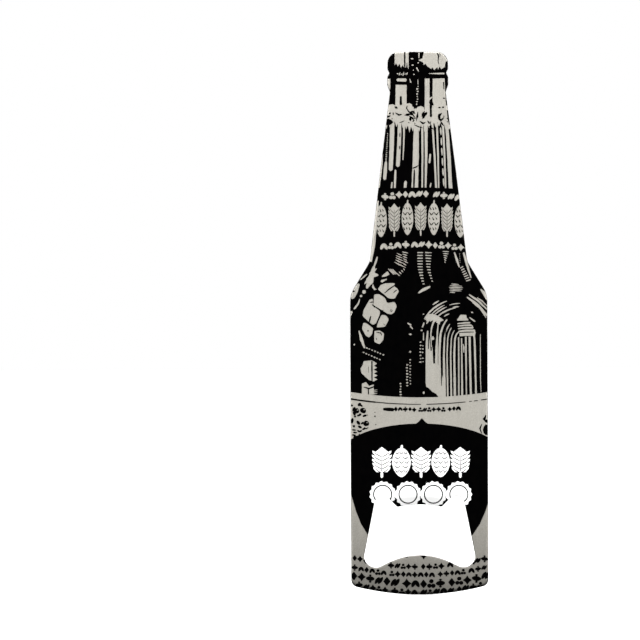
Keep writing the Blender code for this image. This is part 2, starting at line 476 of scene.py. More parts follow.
def side_at(v):
    """Half width of the bottle at a height, in grid steps."""
    z = v * GRID
    best = 0.0
    for a, b in zip(OUTER, OUTER[1:] + OUTER[:1]):
        if min(a.y, b.y) <= z <= max(a.y, b.y) and abs(b.y - a.y) > 1e-9:
            x = a.x + (b.x - a.x) * (z - a.y) / (b.y - a.y)
            best = max(best, x)
    return best / GRID


EDGE_OUT = 4.0       # how far shapes that bleed run past the outline


# crown: torn patches of light left and right of a dark middle, with specks
def draw_crown():
    top = LENGTH / GRID + EDGE_OUT

    def torn(u0, u1, v_low, teeth, slant):
        shape = [(u0, top), (u1, top)]
        for k in range(teeth * 2 + 1):
            t = k / (teeth * 2)
            u = u1 + (u0 - u1) * t
            bite = (2.6 if k % 2 else 0.0) + dice.uniform(0, 1.6)
            shape.append((u, v_low + slant * t * t + bite))
        lay(LIGHT, shape)

    torn(-24.6, -15.2, 526.5, 3, 2.0)
    torn(-13.8, -10.6, 524.5, 1, 1.5)
    # the big patch at right: an arm points in, its lower edge is bitten away
    lay(LIGHT, [(4.6, top), (4.4, 541.6), (3.1, 536.5), (-1.2, 534.5), (3.5, 532.8),
                (4.6, 529.5), (6.2, 530.9), (8.1, 528.4), (11.9, 525.7), (13.1, 527.4),
                (15.0, 524.5), (18.1, 527.6), (18.8, 525.1), (20.4, 528.2), (21.9, 525.5),
                (25.6, 527.8), (26.2, 532.6), (28.6, 534.2), (35.0, 535.0), (35.0, top)])
    stroke(BLACK, [(18.2, 541.4), (19.6, 538.0), (18.4, 534.4), (19.8, 530.4)],
           [1.0, 1.6, 1.0, 0.4], wobble=0.3)
    stroke(BLACK, [(20.6, 541.8), (21.0, 538.6)], [0.9, 0.3])
    stroke(LIGHT, [(-0.2, 541.8), (-0.3, 536.8)], [1.3, 0.9], 0.2)
    stroke(BLACK, [(-12.2, 532), (-12.6, 524)], [0.4, 1.8])
    for k in range(4):
        blob(LIGHT, -7.3 + 0.65 * k, 536.1 - 6.9 * k + 0.55 * k * k,
             (1.4, 1.2, 0.7, 0.8)[k], (0.8, 0.8, 0.5, 0.6)[k], 7, 0.25)
    stroke(LIGHT, [(-2.6, 527.0), (-0.6, 523.4)], [1.6, 0.8])
    blob(LIGHT, -1.0, 531.8, 0.8, 0.8, 6, 0.3)
    # ring of the mouth: a ragged dashed line at left, a clean one at right
    for k in range(6):
        stroke(LIGHT, [(-22.0 + 1.9 * k, 520.0 + dice.uniform(-1, 1.2)),
                       (-21.0 + 1.9 * k, 521.5 + dice.uniform(-1, 1.2))],
               [1.3, 0.7])
    stroke(LIGHT, [(9.8, 521.2), (24.8, 521.2)], [0.6, 1.5, 1.5])


# neck: upright strips of light that the glass shows
def draw_neck_strips():
    stroke(LIGHT, [(-31.0, 516), (-31.0, 506), (-31.6, 500)], [4.2, 4.2, 1.5],
           round_ends=False)
    stroke(LIGHT, [(-21.8, 514.9), (-13.6, 514.7)], [2.9, 3.4])
    stroke(LIGHT, [(-18.1, 510.0), (-18.4, 484)], [11.0, 11.4], 0.03, 12, False)
    stroke(BLACK, [(-18.4, 498.0), (-18.4, 490.4)], [2.0, 2.5], 0.1)
    stroke(LIGHT, [(-9.6, 516), (-8.4, 512.4)], [0.5, 1.4])
    # broken line of specks in the dark middle
    for k in range(8):
        blob(LIGHT, -1.5 - 0.14 * k + dice.uniform(-0.5, 0.5), 508.4 - 2.55 * k,
             0.6 + 0.5 * dice.random(), 0.55 + 0.35 * dice.random(), 6, 0.3)
    stroke(LIGHT, [(-1.4, 515.2), (-1.3, 510.6)], [0.6, 0.9])
    stroke(LIGHT, [(7.9, 516.2), (7.9, 478)], [4.8, 5.0], 0.03, 14, False)
    stroke(LIGHT, [(19.3, 516.3), (19.5, 508.0), (20.1, 478)], [12.0, 13.0, 15.0], 0.02, 14,
           False)
    stroke(BLACK, [(24.3, 512.5), (24.6, 505.5)], [1.2, 0.7])
    blob(BLACK, 24.6, 496.5, 1.3, 0.7, 6, 0.2)
    blob(BLACK, 28.0, 494.4, 0.6, 1.3, 6, 0.2)
    stroke(BLACK, [(11.6, 517), (11.6, 499)], [2.1, 1.7], 0.05)
    stroke(LIGHT, [(9.6, 495.0), (12.6, 497.6)], [1.6, 1.5], 0.1, 4)
    lay(BLACK, [(12.6, 495.8), (14.6, 489.4), (10.6, 489.2), (11.0, 492.4)])


# torn foil: a ragged light collar right across the neck
def draw_foil():
    shape = []
    n = 22
    for k in range(n + 1):
        t = k / n
        u = -36 + 72 * t
        v = 486.5 + 3.2 * math.sin(9 * t + 0.6) + dice.uniform(-1.2, 1.6)
        if 0.37 < t < 0.52:
            v += 3.4
        shape.append((u, v))
    for k in range(n * 2 + 1):
        t = 1 - k / (n * 2)
        u = -36 + 72 * t
        v = 467.5 + 2.4 * math.sin(11 * t) + (2.6 if k % 2 else -2.2)
        v += dice.uniform(-1.4, 1.4)
        shape.append((u, v))
    lay(LIGHT, shape)
    blob(LIGHT, -10.4, 487.5, 3.8, 4.4, 9, 0.12)
    blob(LIGHT, 0.8, 484.5, 4.6, 4.0, 9, 0.14)
    for u, v, du, dv, w in ((-24, 482, 4.5, -2.2, 1.6), (-11, 479.4, 7.4, -3.6, 1.5),
                            (-5, 474.5, -4.5, 3.2, 1.5), (-15, 474, -5, -2.0, 1.2),
                            (6.6, 481.6, -3.6, -6.0, 2.0), (-1.4, 483, -1.6, -9.5, 2.2),
                            (24.8, 477.5, -3.8, -3.8, 1.8),
                            (21.4, 473.4, 3.0, -4.6, 2.0), (-28.6, 479, -5.2, -1.4, 2.2),
                            (-5.0, 470.0, 8.5, -3.2, 1.5), (9.8, 468.8, 5.0, -3.6, 1.7)):
        stroke(BLACK, [(u, v), (u + du * 0.5, v + dv * 0.62), (u + du, v + dv)],
               [0.5, w, 0.4], 0.25)
    for spine, w in ((((22.6, 481.6), (19.6, 479.0), (20.0, 476.0), (22.4, 473.6)), 3.2),
                     (((-11.0, 483.6), (-8.6, 482.0), (-6.6, 483.4), (-4.0, 481.0)), 2.2),
                     (((-14.6, 479.6), (-10.6, 480.8), (-6.6, 480.2), (-3.6, 476.4)), 2.0),
                     (((-9.4, 477.4), (-8.8, 473.6)), 2.6), (((-5.2, 486.0), (-3.4, 490.6)), 1.9),
                     (((5.4, 483.4), (3.4, 480.6), (2.6, 478.2)), 1.9),
                     (((-30.4, 480.8), (-28.4, 482.0)), 1.8), (((-26.2, 482.4), (-26.0, 479.6)), 1.2),
                     (((-24.6, 488.0), (-21.6, 486.4)), 2.2), (((-21.4, 479.4), (-17.4, 480.4)), 1.5),
                     (((0.6, 473.6), (3.8, 471.2), (6.4, 472.6)), 1.9),
                     (((8.2, 474.0), (10.4, 471.0), (11.6, 473.4)), 1.7),
                     (((10.8, 494.6), (11.2, 491.6), (13.6, 489.8)), 2.6),
                     (((-12.0, 489.0), (-13.0, 485.6)), 1.2)):
        stroke(BLACK, spine, [0.6, w, w * 0.9, 0.5], 0.2, 8)
    stroke(BLACK, [(11.5, 487.0), (11.7, 478.2)], [2.2, 2.1], 0.1, 6)
    lay(BLACK, [(7.9, 483.0), (8.0, 480.6), (3.6, 476.6), (2.8, 478.6), (5.0, 481.8)])
    lay(BLACK, [(-14.8, 479.4), (-12.2, 481.4), (-10.0, 479.8), (-11.4, 478.6)])
    stroke(BLACK, [(-12.6, 486.6), (-10.4, 482.8), (-6.0, 481.2), (-4.8, 484.0)],
           [0.6, 1.5, 1.4, 0.6], 0.15, 8)
    lay(BLACK, [(33.0, 487.0), (27.6, 484.4), (28.2, 476.0), (30.0, 470.0), (34.0, 470.0)])
    stroke(BLACK, [(19.4, 487.2), (21.0, 487.2)], [1.4, 1.3], 0.1, 3)
    stroke(BLACK, [(23.2, 487.4), (24.4, 487.6)], [1.6, 1.5], 0.1, 3)
    blob(BLACK, -31.5, 472.6, 5.2, 3.6, 9, 0.14)
    for k in range(9):
        blob(BLACK, dice.uniform(-29, 29), dice.uniform(470, 486),
             dice.uniform(0.4, 0.9), dice.uniform(0.4, 0.8), 6, 0.3)


# below the foil: long tapering cuts that follow the neck's own taper
def draw_streaks():
    top, low = 471.0, 405.5
    cuts = (  # (u at the top, u at the foot, start, end, width, foot width)
        (-27.0, -28.6, 0.00, 0.70, 4.4, 4.0), (-19.6, -21.4, 0.00, 0.64, 3.6, 3.8),
        (-15.2, -16.3, 0.00, 0.55, 2.0, 0.9), (-3.0, -4.6, 0.00, 1.0, 4.8, 6.6),
        (3.0, 2.9, 0.00, 1.0, 2.2, 1.5), (6.6, 6.2, 0.00, 1.0, 3.8, 1.9),
        (13.2, 16.9, 0.00, 1.0, 1.8, 1.9), (17.6, 19.4, 0.00, 1.0, 1.9, 1.4),
        (23.6, 26.4, 0.00, 1.0, 2.0, 1.5), (27.4, 31.4, 0.00, 1.0, 3.0, 3.6),
    )
    for a, b, s, e, w0, w1 in cuts:
        v0, v1 = top + (low - top) * s, top + (low - top) * e
        stroke(LIGHT, [(a, v0), ((a + b) / 2 + 0.3, (v0 + v1) / 2), (b, v1)],
               [w0, (w0 + w1) / 2 * 1.06, w1], 0.07, 16)
    # the glass thins out into dashes between the cuts
    for k in range(6):
        v = top - 4 - 10.2 * k
        stroke(LIGHT, [(21.4 + 0.55 * k, v), (21.8 + 0.55 * k, v - 7.2)],
               [1.0, 1.9, 0.7], 0.15)
    for k in range(14):
        blob(LIGHT, -31.6 - 0.13 * k, 461 - 2.1 * k, 0.5 + 0.03 * k, 0.65, 6, 0.3)
    stroke(LIGHT, [(-33.4, 432.5), (-34.6, 416)], [2.4, 3.6, 3.2])
    for u, v, length, w in ((-23.8, 424.5, 19, 2.2), (-27.2, 412.4, 6.2, 1.6),
                            (-13.6, 413.2, 6.8, 3.0), (10.9, 440.5, 8.5, 2.0),
                            (11.6, 411.6, 4.0, 1.4)):
        stroke(LIGHT, [(u, v), (u - 0.7, v - length)], [w * 0.8, w, w * 0.9], 0.12)
    # black slits cut back into the widest lights
    stroke(BLACK, [(-4.9, 425), (-5.4, 406)], [1.0, 2.0, 1.6], 0.1)
    stroke(BLACK, [(-6.4, 426.6), (-3.4, 427.6), (-1.0, 429.2)], [1.2, 1.6, 0.5], 0.2)
    stroke(BLACK, [(4.7, 463), (4.9, 440), (4.6, 405)], [1.1, 1.4, 1.7], 0.1)
    stroke(BLACK, [(-24.0, 466), (-22.8, 452), (-24.0, 430)], [0.9, 1.4, 0.8], 0.2)
    for v in (460.0, 447.0):
        blob(BLACK, -19.4 + dice.uniform(-0.5, 0.5), v, 0.6, 2.2, 7, 0.3)
    # bright rims of the glass
    for sign, w in ((-1, 2.2), (1, 3.4)):
        stroke(LIGHT, [(sign * (side_at(v) + 0.6), v) for v in (440, 428, 416, 407)],
               [0.6, w, w * 1.1, w * 0.8], 0.08, 12, False)


# neck label: a black band with a hop-and-barley frieze between two borders
def hop(tone, ground, u, v, ru, rv, rows=4):
    """A hop cone: a pointed oval whose scales are cut in the ground tone."""
    ring = []
    n = 18
    for k in range(n):
        a = 2 * math.pi * k / n + math.pi / 2
        c, s = math.cos(a), math.sin(a)
        pinch = 1 - 0.28 * max(0.0, -s) ** 2
        ring.append((u + ru * c * pinch, v + rv * s))
    lay(tone, ring)
    for row in range(rows):
        t = (row + 0.7) / (rows + 0.2)
        y = v + rv * (0.86 - 1.62 * t)
        half = ru * math.sqrt(max(0.05, 1 - ((y - v) / rv) ** 2)) * 0.86
        count = 2 if row % 2 else 3
        for j in range(count):
            a = u - half + 2 * half * j / count
            b = u - half + 2 * half * (j + 1) / count
            dip = rv * 0.17
            stroke(ground, [(a + 0.06 * (b - a), y + dip * 0.5),
                            ((a + b) / 2, y - dip * 0.5),
                            (b - 0.06 * (b - a), y + dip * 0.5)],
                   [rv * 0.035, rv * 0.085, rv * 0.035], 0, 6)
    stroke(tone, [(u, v + rv * 0.95), (u + ru * 0.05, v + rv * 1.16)],
           [ru * 0.3, ru * 0.2])


def barley(tone, ground, u, v, ru, rv, rows=4, lean=0.0):
    """An ear of barley: pairs of grains on a stem, and one at the tip."""
    stroke(tone, [(u - lean * rv, v - rv), (u + lean * rv, v + rv * 0.7)],
           [ru * 0.2, ru * 0.14], 0, 4)
    for row in range(rows):
        t = row / rows
        y = v - rv * 0.62 + rv * 1.36 * t
        x = u + lean * (y - v)
        for sign in (-1, 1):
            tip = (x + sign * ru * (0.98 - 0.25 * t), y + rv * 0.36)
            root = (x + sign * ru * 0.16, y - rv * 0.04)
            stroke(tone, [root, ((root[0] + tip[0]) / 2 + sign * ru * 0.12,
                                 (root[1] + tip[1]) / 2 - rv * 0.02), tip],
                   [ru * 0.16, ru * 0.52, ru * 0.10], 0, 6)
    x = u + lean * rv * 0.75
    stroke(tone, [(x, v + rv * 0.62), (x + lean * rv * 0.2, v + rv * 1.0)],
           [ru * 0.34, ru * 0.44, ru * 0.1], 0, 6)


def bold_barley(tone, ground, u, v, ru, rv, rows=5):
    """A full ear of barley: a solid notched leaf shape with cut grain lines."""
    side = []
    for row in range(rows):
        t = row / rows
        y = v - rv * 0.66 + rv * 1.34 * t
        wide = ru * (0.78 + 0.30 * math.sin(math.pi * (0.18 + 0.62 * t)))
        side += [(wide * 0.62, y - rv * 0.02), (wide * 0.96, y + rv * 0.20),
                 (wide, y + rv * 0.34), (wide * 0.66, y + rv * 0.26)]
    side += [(ru * 0.30, v + rv * 0.86), (0.0, v + rv * 1.0)]
    lay(tone, [(u + x, y) for x, y in side] + [(u - x, y) for x, y in reversed(side[:-1])])
    stroke(tone, [(u, v - rv), (u, v - rv * 0.5)], [ru * 0.26, ru * 0.34], 0, 3)
    for row in range(rows):
        t = row / rows
        y = v - rv * 0.66 + rv * 1.34 * t
        wide = ru * (0.78 + 0.30 * math.sin(math.pi * (0.18 + 0.62 * t)))
        for sign in (-1, 1):
            stroke(ground, [(u + sign * ru * 0.10, y - rv * 0.06),
                            (u + sign * wide * 0.48, y + rv * 0.07),
                            (u + sign * wide * 0.80, y + rv * 0.22)],
                   [ru * 0.09, ru * 0.10, ru * 0.05], 0, 5)
    stroke(ground, [(u, v - rv * 0.62), (u, v + rv * 0.60)], [ru * 0.10, ru * 0.05], 0, 3)


def arch(u, height, half):
    """A gentle bow: height at the centre, nothing at half."""
    return height * (1 - (u / half) ** 2)


def draw_neck_label():
    low, high = 345.0, 405.0
    half = side_at(345) + EDGE_OUT
    band = [(half * (k / 10 - 1), low - 2 + arch(half * (k / 10 - 1), 1.0, half))
            for k in range(21)]
    band += [(half * (1 - k / 10), high + arch(half * (1 - k / 10), 2.2, half))
             for k in range(21)]
    lay(BLACK, band)
    # upper border: a worn row of grains and lozenges in two groups
    ornament_row(LIGHT, -38.0, 8.0, lambda u: 395.8 + arch(u, 5.0, 46), 6.9, 8, 2.0, 0.04)
    ornament_row(LIGHT, 14.0, 38.0, lambda u: 395.8 + arch(u, 5.0, 46), 6.9, 8, 2.0, 0.04)
    # frieze: hops and barley in turn
    for k in range(7):
        u = -38.2 + 13.2 * k
        v = 372.6 + arch(u, 3.4, 46)
        if k % 2 == 0:
            hop(LIGHT, BLACK, u, v, 5.9, 16.2, 5)
        else:
            bold_barley(LIGHT, BLACK, u, v, 5.6, 16.6, 6)
    # lower border: the same, in a short and a long group
    ornament_row(LIGHT, -39.0, -14.0, lambda u: 346.6 + arch(u, 3.6, 46), 6.7, 8, 2.0, 0.06)
    ornament_row(LIGHT, -8.0, 46.0, lambda u: 346.6 + arch(u, 3.6, 46), 6.7, 9, 2.0, 0.06)
    # unprinted strip down the left side of the label
    stroke(LIGHT, [(-side_at(v) + 0.4, v) for v in (394, 380, 360, 346, 333)],
           [1.4, 3.0, 3.8, 4.6, 3.2], 0.06, 12, False)


# shoulder: tick columns, scribbled lights and the reflection of a window
def draw_shoulder():
    for k in range(5):                         # two leaning stacks, half a step apart
        u0 = (-22.2, -23.2, -23.2, -23.6, -24.8)[k]
        u1 = -17.4 + 0.45 * k if k < 4 else -13.6
        v0, v1 = 341.5 - 2.2 * k, 339.4 - 2.65 * k
        if k == 4:
            v1 = 327.2
        stroke(LIGHT, [(u0, v0), ((u0 + u1) / 2, (v0 + v1) / 2 - 0.2), (u1, v1)],
               [0.5, (0.95, 0.95, 1.0, 1.5, 1.25)[k], 0.55], 0.25, 7)
    for k in range(6):
        u0, u1 = -17.0 + 0.35 * k, (-11.4, -12.2, -12.2, -12.4, -11.4, -13.2)[k]
        if k == 5:
            u0 = -16.4
        v0 = 342.9 - 2.25 * k
        stroke(LIGHT, [(u0, v0), (u1, v0 - 1.2 - 0.2 * k)], [0.55, 1.15, 0.6], 0.25, 5)
    for k in range(4):
        u0, v0 = -15.8 - 2.2 * k, 326.2 - 1.6 * k
        stroke(LIGHT, [(u0, v0), (u0 + 1.3 + 0.5 * k, v0 - 1.7 - 0.3 * k)], [0.5, 1.1, 0.5],
               0.2, 4)
    for k in range(3):
        u, v = -30.8 + 2.1 * k, 325.8 - 0.2 * k
        stroke(LIGHT, [(u, v), (u + 5.4 - 0.6 * k, v - 5.6 + 0.5 * k)], [0.9, 1.3, 0.8], 0.2, 5)
    lay(LIGHT, soft([(-37.8, 317.6), (-36.0, 320.4), (-31.6, 323.6), (-29.6, 320.2),
                    (-33.0, 318.4)], 0.9))
    for k in range(12):
        t = k / 11
        u = 0.9 + 3.9 * max(0.0, t - 0.45) ** 1.4 * 2.0
        stroke(LIGHT, [(u - 2.6 + 1.9 * t * t, 342.2 - 2.85 * k),
                       (u + 2.6 - 1.9 * t * t, 342.2 - 2.85 * k)],
               [1.15, 1.0], 0.25, 4)
    for k in range(11):
        t = k / 10
        u = 9.2 + 4.2 * max(0.0, t - 0.5) ** 1.3 * 2.2
        stroke(LIGHT, [(u - 3.0 + 2.5 * t, 342.2 - 2.85 * k),
                       (u + 3.0 - 2.5 * t, 342.0 - 2.85 * k)],
               [1.15, 0.85], 0.25, 4)
    for k in range(6):
        stroke(LIGHT, [(23.4 + 0.4 * k, 343.4 - 2.0 * k), (29.6 - 0.7 * k, 343.0 - 2.2 * k)],
               [0.5, 1.1, 0.5], 0.3, 5)
    stroke(LIGHT, [(-0.6, 302.0), (3.4, 304.6), (10.6, 308.0)], [1.6, 3.2, 2.0], 0.12)
    for k in range(6):
        start = 30.4 + (1.8, 0.2, -0.6, 0.0, -0.2, 0.4)[k]
        stroke(LIGHT, [(start, 310.8 - 1.65 * k),
                       (start + (7.4, 12.0, 13.6, 12.6, 11.8, 5.0)[k], 310.2 - 1.6 * k)],
               [0.5, 1.15, 0.9, 0.5], 0.22, 7)
    # right shoulder: two cuts with ticks between
    stroke(LIGHT, [(35.2, 342.2), (37.6, 335), (40.0, 327.8)], [1.4, 2.4, 1.2], 0.1)
    stroke(LIGHT, [(44.4, 341.8), (47.4, 331), (51.8, 317)], [2.0, 2.4, 1.0], 0.1)
    for k in range(5):
        blob(LIGHT, 40.4 + 0.1 * k, 340.8 - 2.1 * k, 0.45, 0.5, 5, 0.3)
    for k in range(7):
        t = k / 6
        u, v = 42.4 + 6.6 * t, 327.4 - 13.0 * t
        stroke(LIGHT, [(u - 1.2 - 0.9 * t, v - 0.7), (u + 1.2 + 0.9 * t, v + 0.8)],
               [0.9, 1.15], 0.2, 4)
    stroke(LIGHT, [(61.6, 305.2), (65.6, 300.8), (70.0, 294.6)], [1.4, 4.0, 5.0], 0.1)
    for (u, v), (du, dv), w in (((50.0, 300.0), (18.6, -15.4), 2.0),
                                ((48.0, 297.4), (19.8, -17.4), 2.6),
                                ((53.6, 292.0), (14.4, -13.6), 1.5),
                                ((58.0, 297.0), (11.0, -9.4), 1.3),
                                ((60.4, 286.4), (6.4, -9.4), 1.6)):
        stroke(LIGHT, [(u, v), (u + du * 0.45, v + dv * 0.36), (u + du, v + dv)],
               [w * 0.6, w, w * 0.9, w * 0.5], 0.15, 10)
    # left shoulder: cut light, and the glass's bright rim
    stroke(LIGHT, [(-42.0, 337.6), (-45.0, 328.6)], [1.4, 2.2, 1.6], 0.1)
    stroke(LIGHT, [(-45.4, 328.0), (-47.0, 321.0), (-49.4, 313.6), (-52.4, 307.0)],
           [2.2, 5.4, 6.6, 2.2], 0.14, 12)
    stroke(LIGHT, [(-46.4, 320.0), (-41.4, 319.8)], [5.6, 1.8], 0.2, 5)
    stroke(LIGHT, [(-45.6, 323.6), (-42.8, 326.0)], [2.4, 0.9], 0.2, 4)
    stroke(LIGHT, [(-51.0, 316.0), (-54.6, 310.8)], [3.0, 1.0], 0.2, 5)
    stroke(LIGHT, [(-52.4, 320.6), (-58.6, 315.2)], [0.9, 1.7, 1.0], 0.12)
    stroke(LIGHT, [(-60.6, 310.4), (-63.6, 304.6), (-67.0, 297)], [2.4, 5.6, 3.4], 0.1)
    blob(BLACK, -65.6, 303.4, 1.3, 0.9, 6, 0.2)
    blob(LIGHT, -55.2, 302.8, 2.1, 2.0, 8, 0.15)
    blob(LIGHT, -58.2, 298.8, 1.3, 1.2, 7, 0.2)
    stroke(LIGHT, [(-59.6, 295.6), (-60.8, 291.2), (-65.0, 286.0)], [0.9, 2.0, 1.7], 0.1)
    stroke(LIGHT, [(-67.6, 283.0), (-69.8, 276)], [2.4, 1.0], 0.1)


def soft(corners, cut=1.3):
    """The same outline with its corners rounded off."""
    spots = [Vector(c) for c in corners]
    ring = []
    for i, here in enumerate(spots):
        before = spots[i - 1] - here
        after = spots[(i + 1) % len(spots)] - here
        a = here + before * min(0.45, cut / before.length)
        b = here + after * min(0.45, cut / after.length)
        ring += [a, (a + b + here * 2) / 4, b]
    return [(p.x + dice.uniform(-0.12, 0.12), p.y + dice.uniform(-0.12, 0.12)) for p in ring]


def draw_window():
    """Light from a barred window, bent round the glass into leaning panes."""
    panes = (
        ((-41.6, 305.4), (-38.6, 309.8), (-34.8, 311.4), (-24.2, 311.6), (-25.4, 308.6),
         (-22.0, 306.4), (-20.4, 303.4), (-24.6, 296.0), (-30.4, 296.2), (-36.4, 301.4)),
        ((-45.0, 300.6), (-39.8, 300.6), (-34.6, 297.2), (-32.0, 291.6), (-24.8, 293.0),
         (-22.4, 289.0), (-24.8, 282.6), (-27.6, 280.2), (-31.4, 281.0), (-46.0, 289.8)),
        ((-49.8, 295.4), (-46.4, 296.0), (-46.0, 288.6), (-39.0, 283.6), (-39.6, 280.2),
         (-43.4, 271.2), (-46.2, 269.8), (-52.0, 274.2), (-56.6, 278.8), (-55.8, 284.6)),
        ((-37.6, 280.2), (-33.0, 279.2), (-30.4, 275.0), (-34.2, 267.8), (-42.8, 267.2),
         (-40.6, 274.0)),
        ((-56.2, 272.0), (-53.2, 272.0), (-46.0, 266.2), (-47.4, 260.0), (-50.6, 257.0),
         (-54.0, 259.6), (-57.2, 266.0)),
        ((-45.0, 263.8), (-39.6, 264.4), (-35.0, 261.4), (-35.8, 255.0), (-39.6, 250.4),
         (-45.2, 253.0)))
    for corners in panes:
        lay(LIGHT, soft(corners))
    lay(LIGHT, [(-46.4, 311.2), (-44.2, 306.4), (-42.2, 305.2), (-45.0, 304.6),
                (-47.4, 307.6)])
    # nicks that the graver left in the panes
    for a, b, w in (((-34.6, 301.8), (-25.0, 309.2), 1.4), ((-25.8, 301.8), (-22.4, 304.8), 0.9),
                    ((-48.4, 278.6), (-50.0, 272.6), 1.7), ((-49.4, 292.2), (-45.6, 292.6), 1.1),
                    ((-47.2, 290.2), (-44.6, 287.4), 1.3), ((-42.8, 262.4), (-38.4, 261.4), 1.0),
                    ((-38.8, 262.4), (-37.6, 259.4), 0.9), ((-38.2, 283.6), (-35.8, 284.4), 0.6),
                    ((-36.0, 271.0), (-34.6, 269.6), 0.6), ((-43.2, 256.8), (-42.4, 254.8), 0.8)):
        stroke(BLACK, [a, ((a[0] + b[0]) / 2, (a[1] + b[1]) / 2 + 0.3), b],
               [w * 0.5, w, w * 0.7], 0.15, 6)
    blob(BLACK, -28.0, 284.0, 1.3, 1.2, 8, 0.2)
    blob(LIGHT, -28.0, 284.2, 0.8, 0.7, 7, 0.2)
    blob(BLACK, -51.2, 263.8, 0.8, 0.8, 7, 0.2)
    # the pane's last corner, above the first one
    stroke(LIGHT, [(-37.6, 313.4), (-32.6, 315.6)], [2.6, 1.0], 0.2, 5)


def draw_left_flank():
    # the light's lower fringe: a cut, two dashed lines and two blocks
    stroke(LIGHT, [(-60.2, 263.8), (-58.0, 256), (-54.8, 247.2)], [1.4, 3.2, 2.0], 0.1)
    for row, (u0, v0, u1, v1) in enumerate(((-53.4, 247.2, -34.0, 239.2),
                                            (-56.4, 242.6, -37.6, 234.4))):
        n = 7
        for k in range(n):
            a = (k + 0.1) / n
            b = (k + 0.30 + 0.30 * dice.random()) / n
            stroke(LIGHT, [(u0 + (u1 - u0) * a, v0 + (v1 - v0) * a),
                           (u0 + (u1 - u0) * b, v0 + (v1 - v0) * b)],
                   [1.2, 1.5], 0.2, 3)
    blob(LIGHT, -65.0, 250.2, 0.9, 0.9, 7, 0.2)
    block = [(-55.6, 233.6), (-47.6, 234.4), (-44.6, 233.0)]
    for k in range(5):
        block += [(-42.0 + dice.uniform(-0.4, 0.6), 231.0 - 3.9 * k),
                  (-45.4 + dice.uniform(-0.4, 0.4), 229.0 - 3.9 * k)]
    block += [(-45.6, 213.2), (-50.4, 214.8), (-53.6, 217.6), (-57.8, 221.6),
              (-58.8, 226.2), (-56.6, 229.8)]
    lay(LIGHT, block)
    stroke(BLACK, [(-47.4, 233.4), (-47.2, 213)], [1.4, 1.1], 0.15)
    stroke(BLACK, [(-50.8, 228), (-50.6, 222)], [0.5, 0.3], 0.1)
    lay(LIGHT, [(-57.4, 211.2), (-53.2, 212.8), (-50.2, 208.8), (-45.6, 210.4),
                (-45.2, 200.2), (-57.4, 200.2)])
    stroke(BLACK, [(-55.4, 207.6), (-50.0, 206.2), (-45.4, 208.0)], [0.8, 1.8, 1.0], 0.2)
    stroke(BLACK, [(-50.9, 206), (-50.8, 200)], [1.1, 1.1], 0.1)
    for k in range(3):
        stroke(LIGHT, [(-45.0, 204.6 - 1.8 * k), (-42.0, 204.9 - 1.8 * k)], [1.0, 0.5], 0.1, 3)
    # columns of specks in the dark glass
    for u, v, n, step, r in ((-9.2, 243.0, 1, 2.6, 1.3), (-8.9, 235.0, 9, 3.0, 0.85),
                             (-12.1, 230.0, 8, 3.0, 1.05), (-18.6, 211.0, 7, 2.7, 1.1),
                             (1.2, 252.6, 7, 3.3, 1.0), (3.6, 249.0, 3, 3.3, 0.8),
                             (3.8, 236.5, 2, 3.4, 0.9), (-9.0, 260.5, 1, 3, 1.4)):
        for k in range(n):
            blob(LIGHT, u + dice.uniform(-0.25, 0.25), v - step * k,
                 r * dice.uniform(0.8, 1.2), 0.75 * r, 6, 0.25)
    stroke(LIGHT, [(-11.4, 271.6), (-8.6, 269.8)], [1.2, 1.8], 0.2, 4)
    stroke(LIGHT, [(-8.8, 268.4), (-6.6, 265.8)], [1.6, 0.9], 0.2, 4)


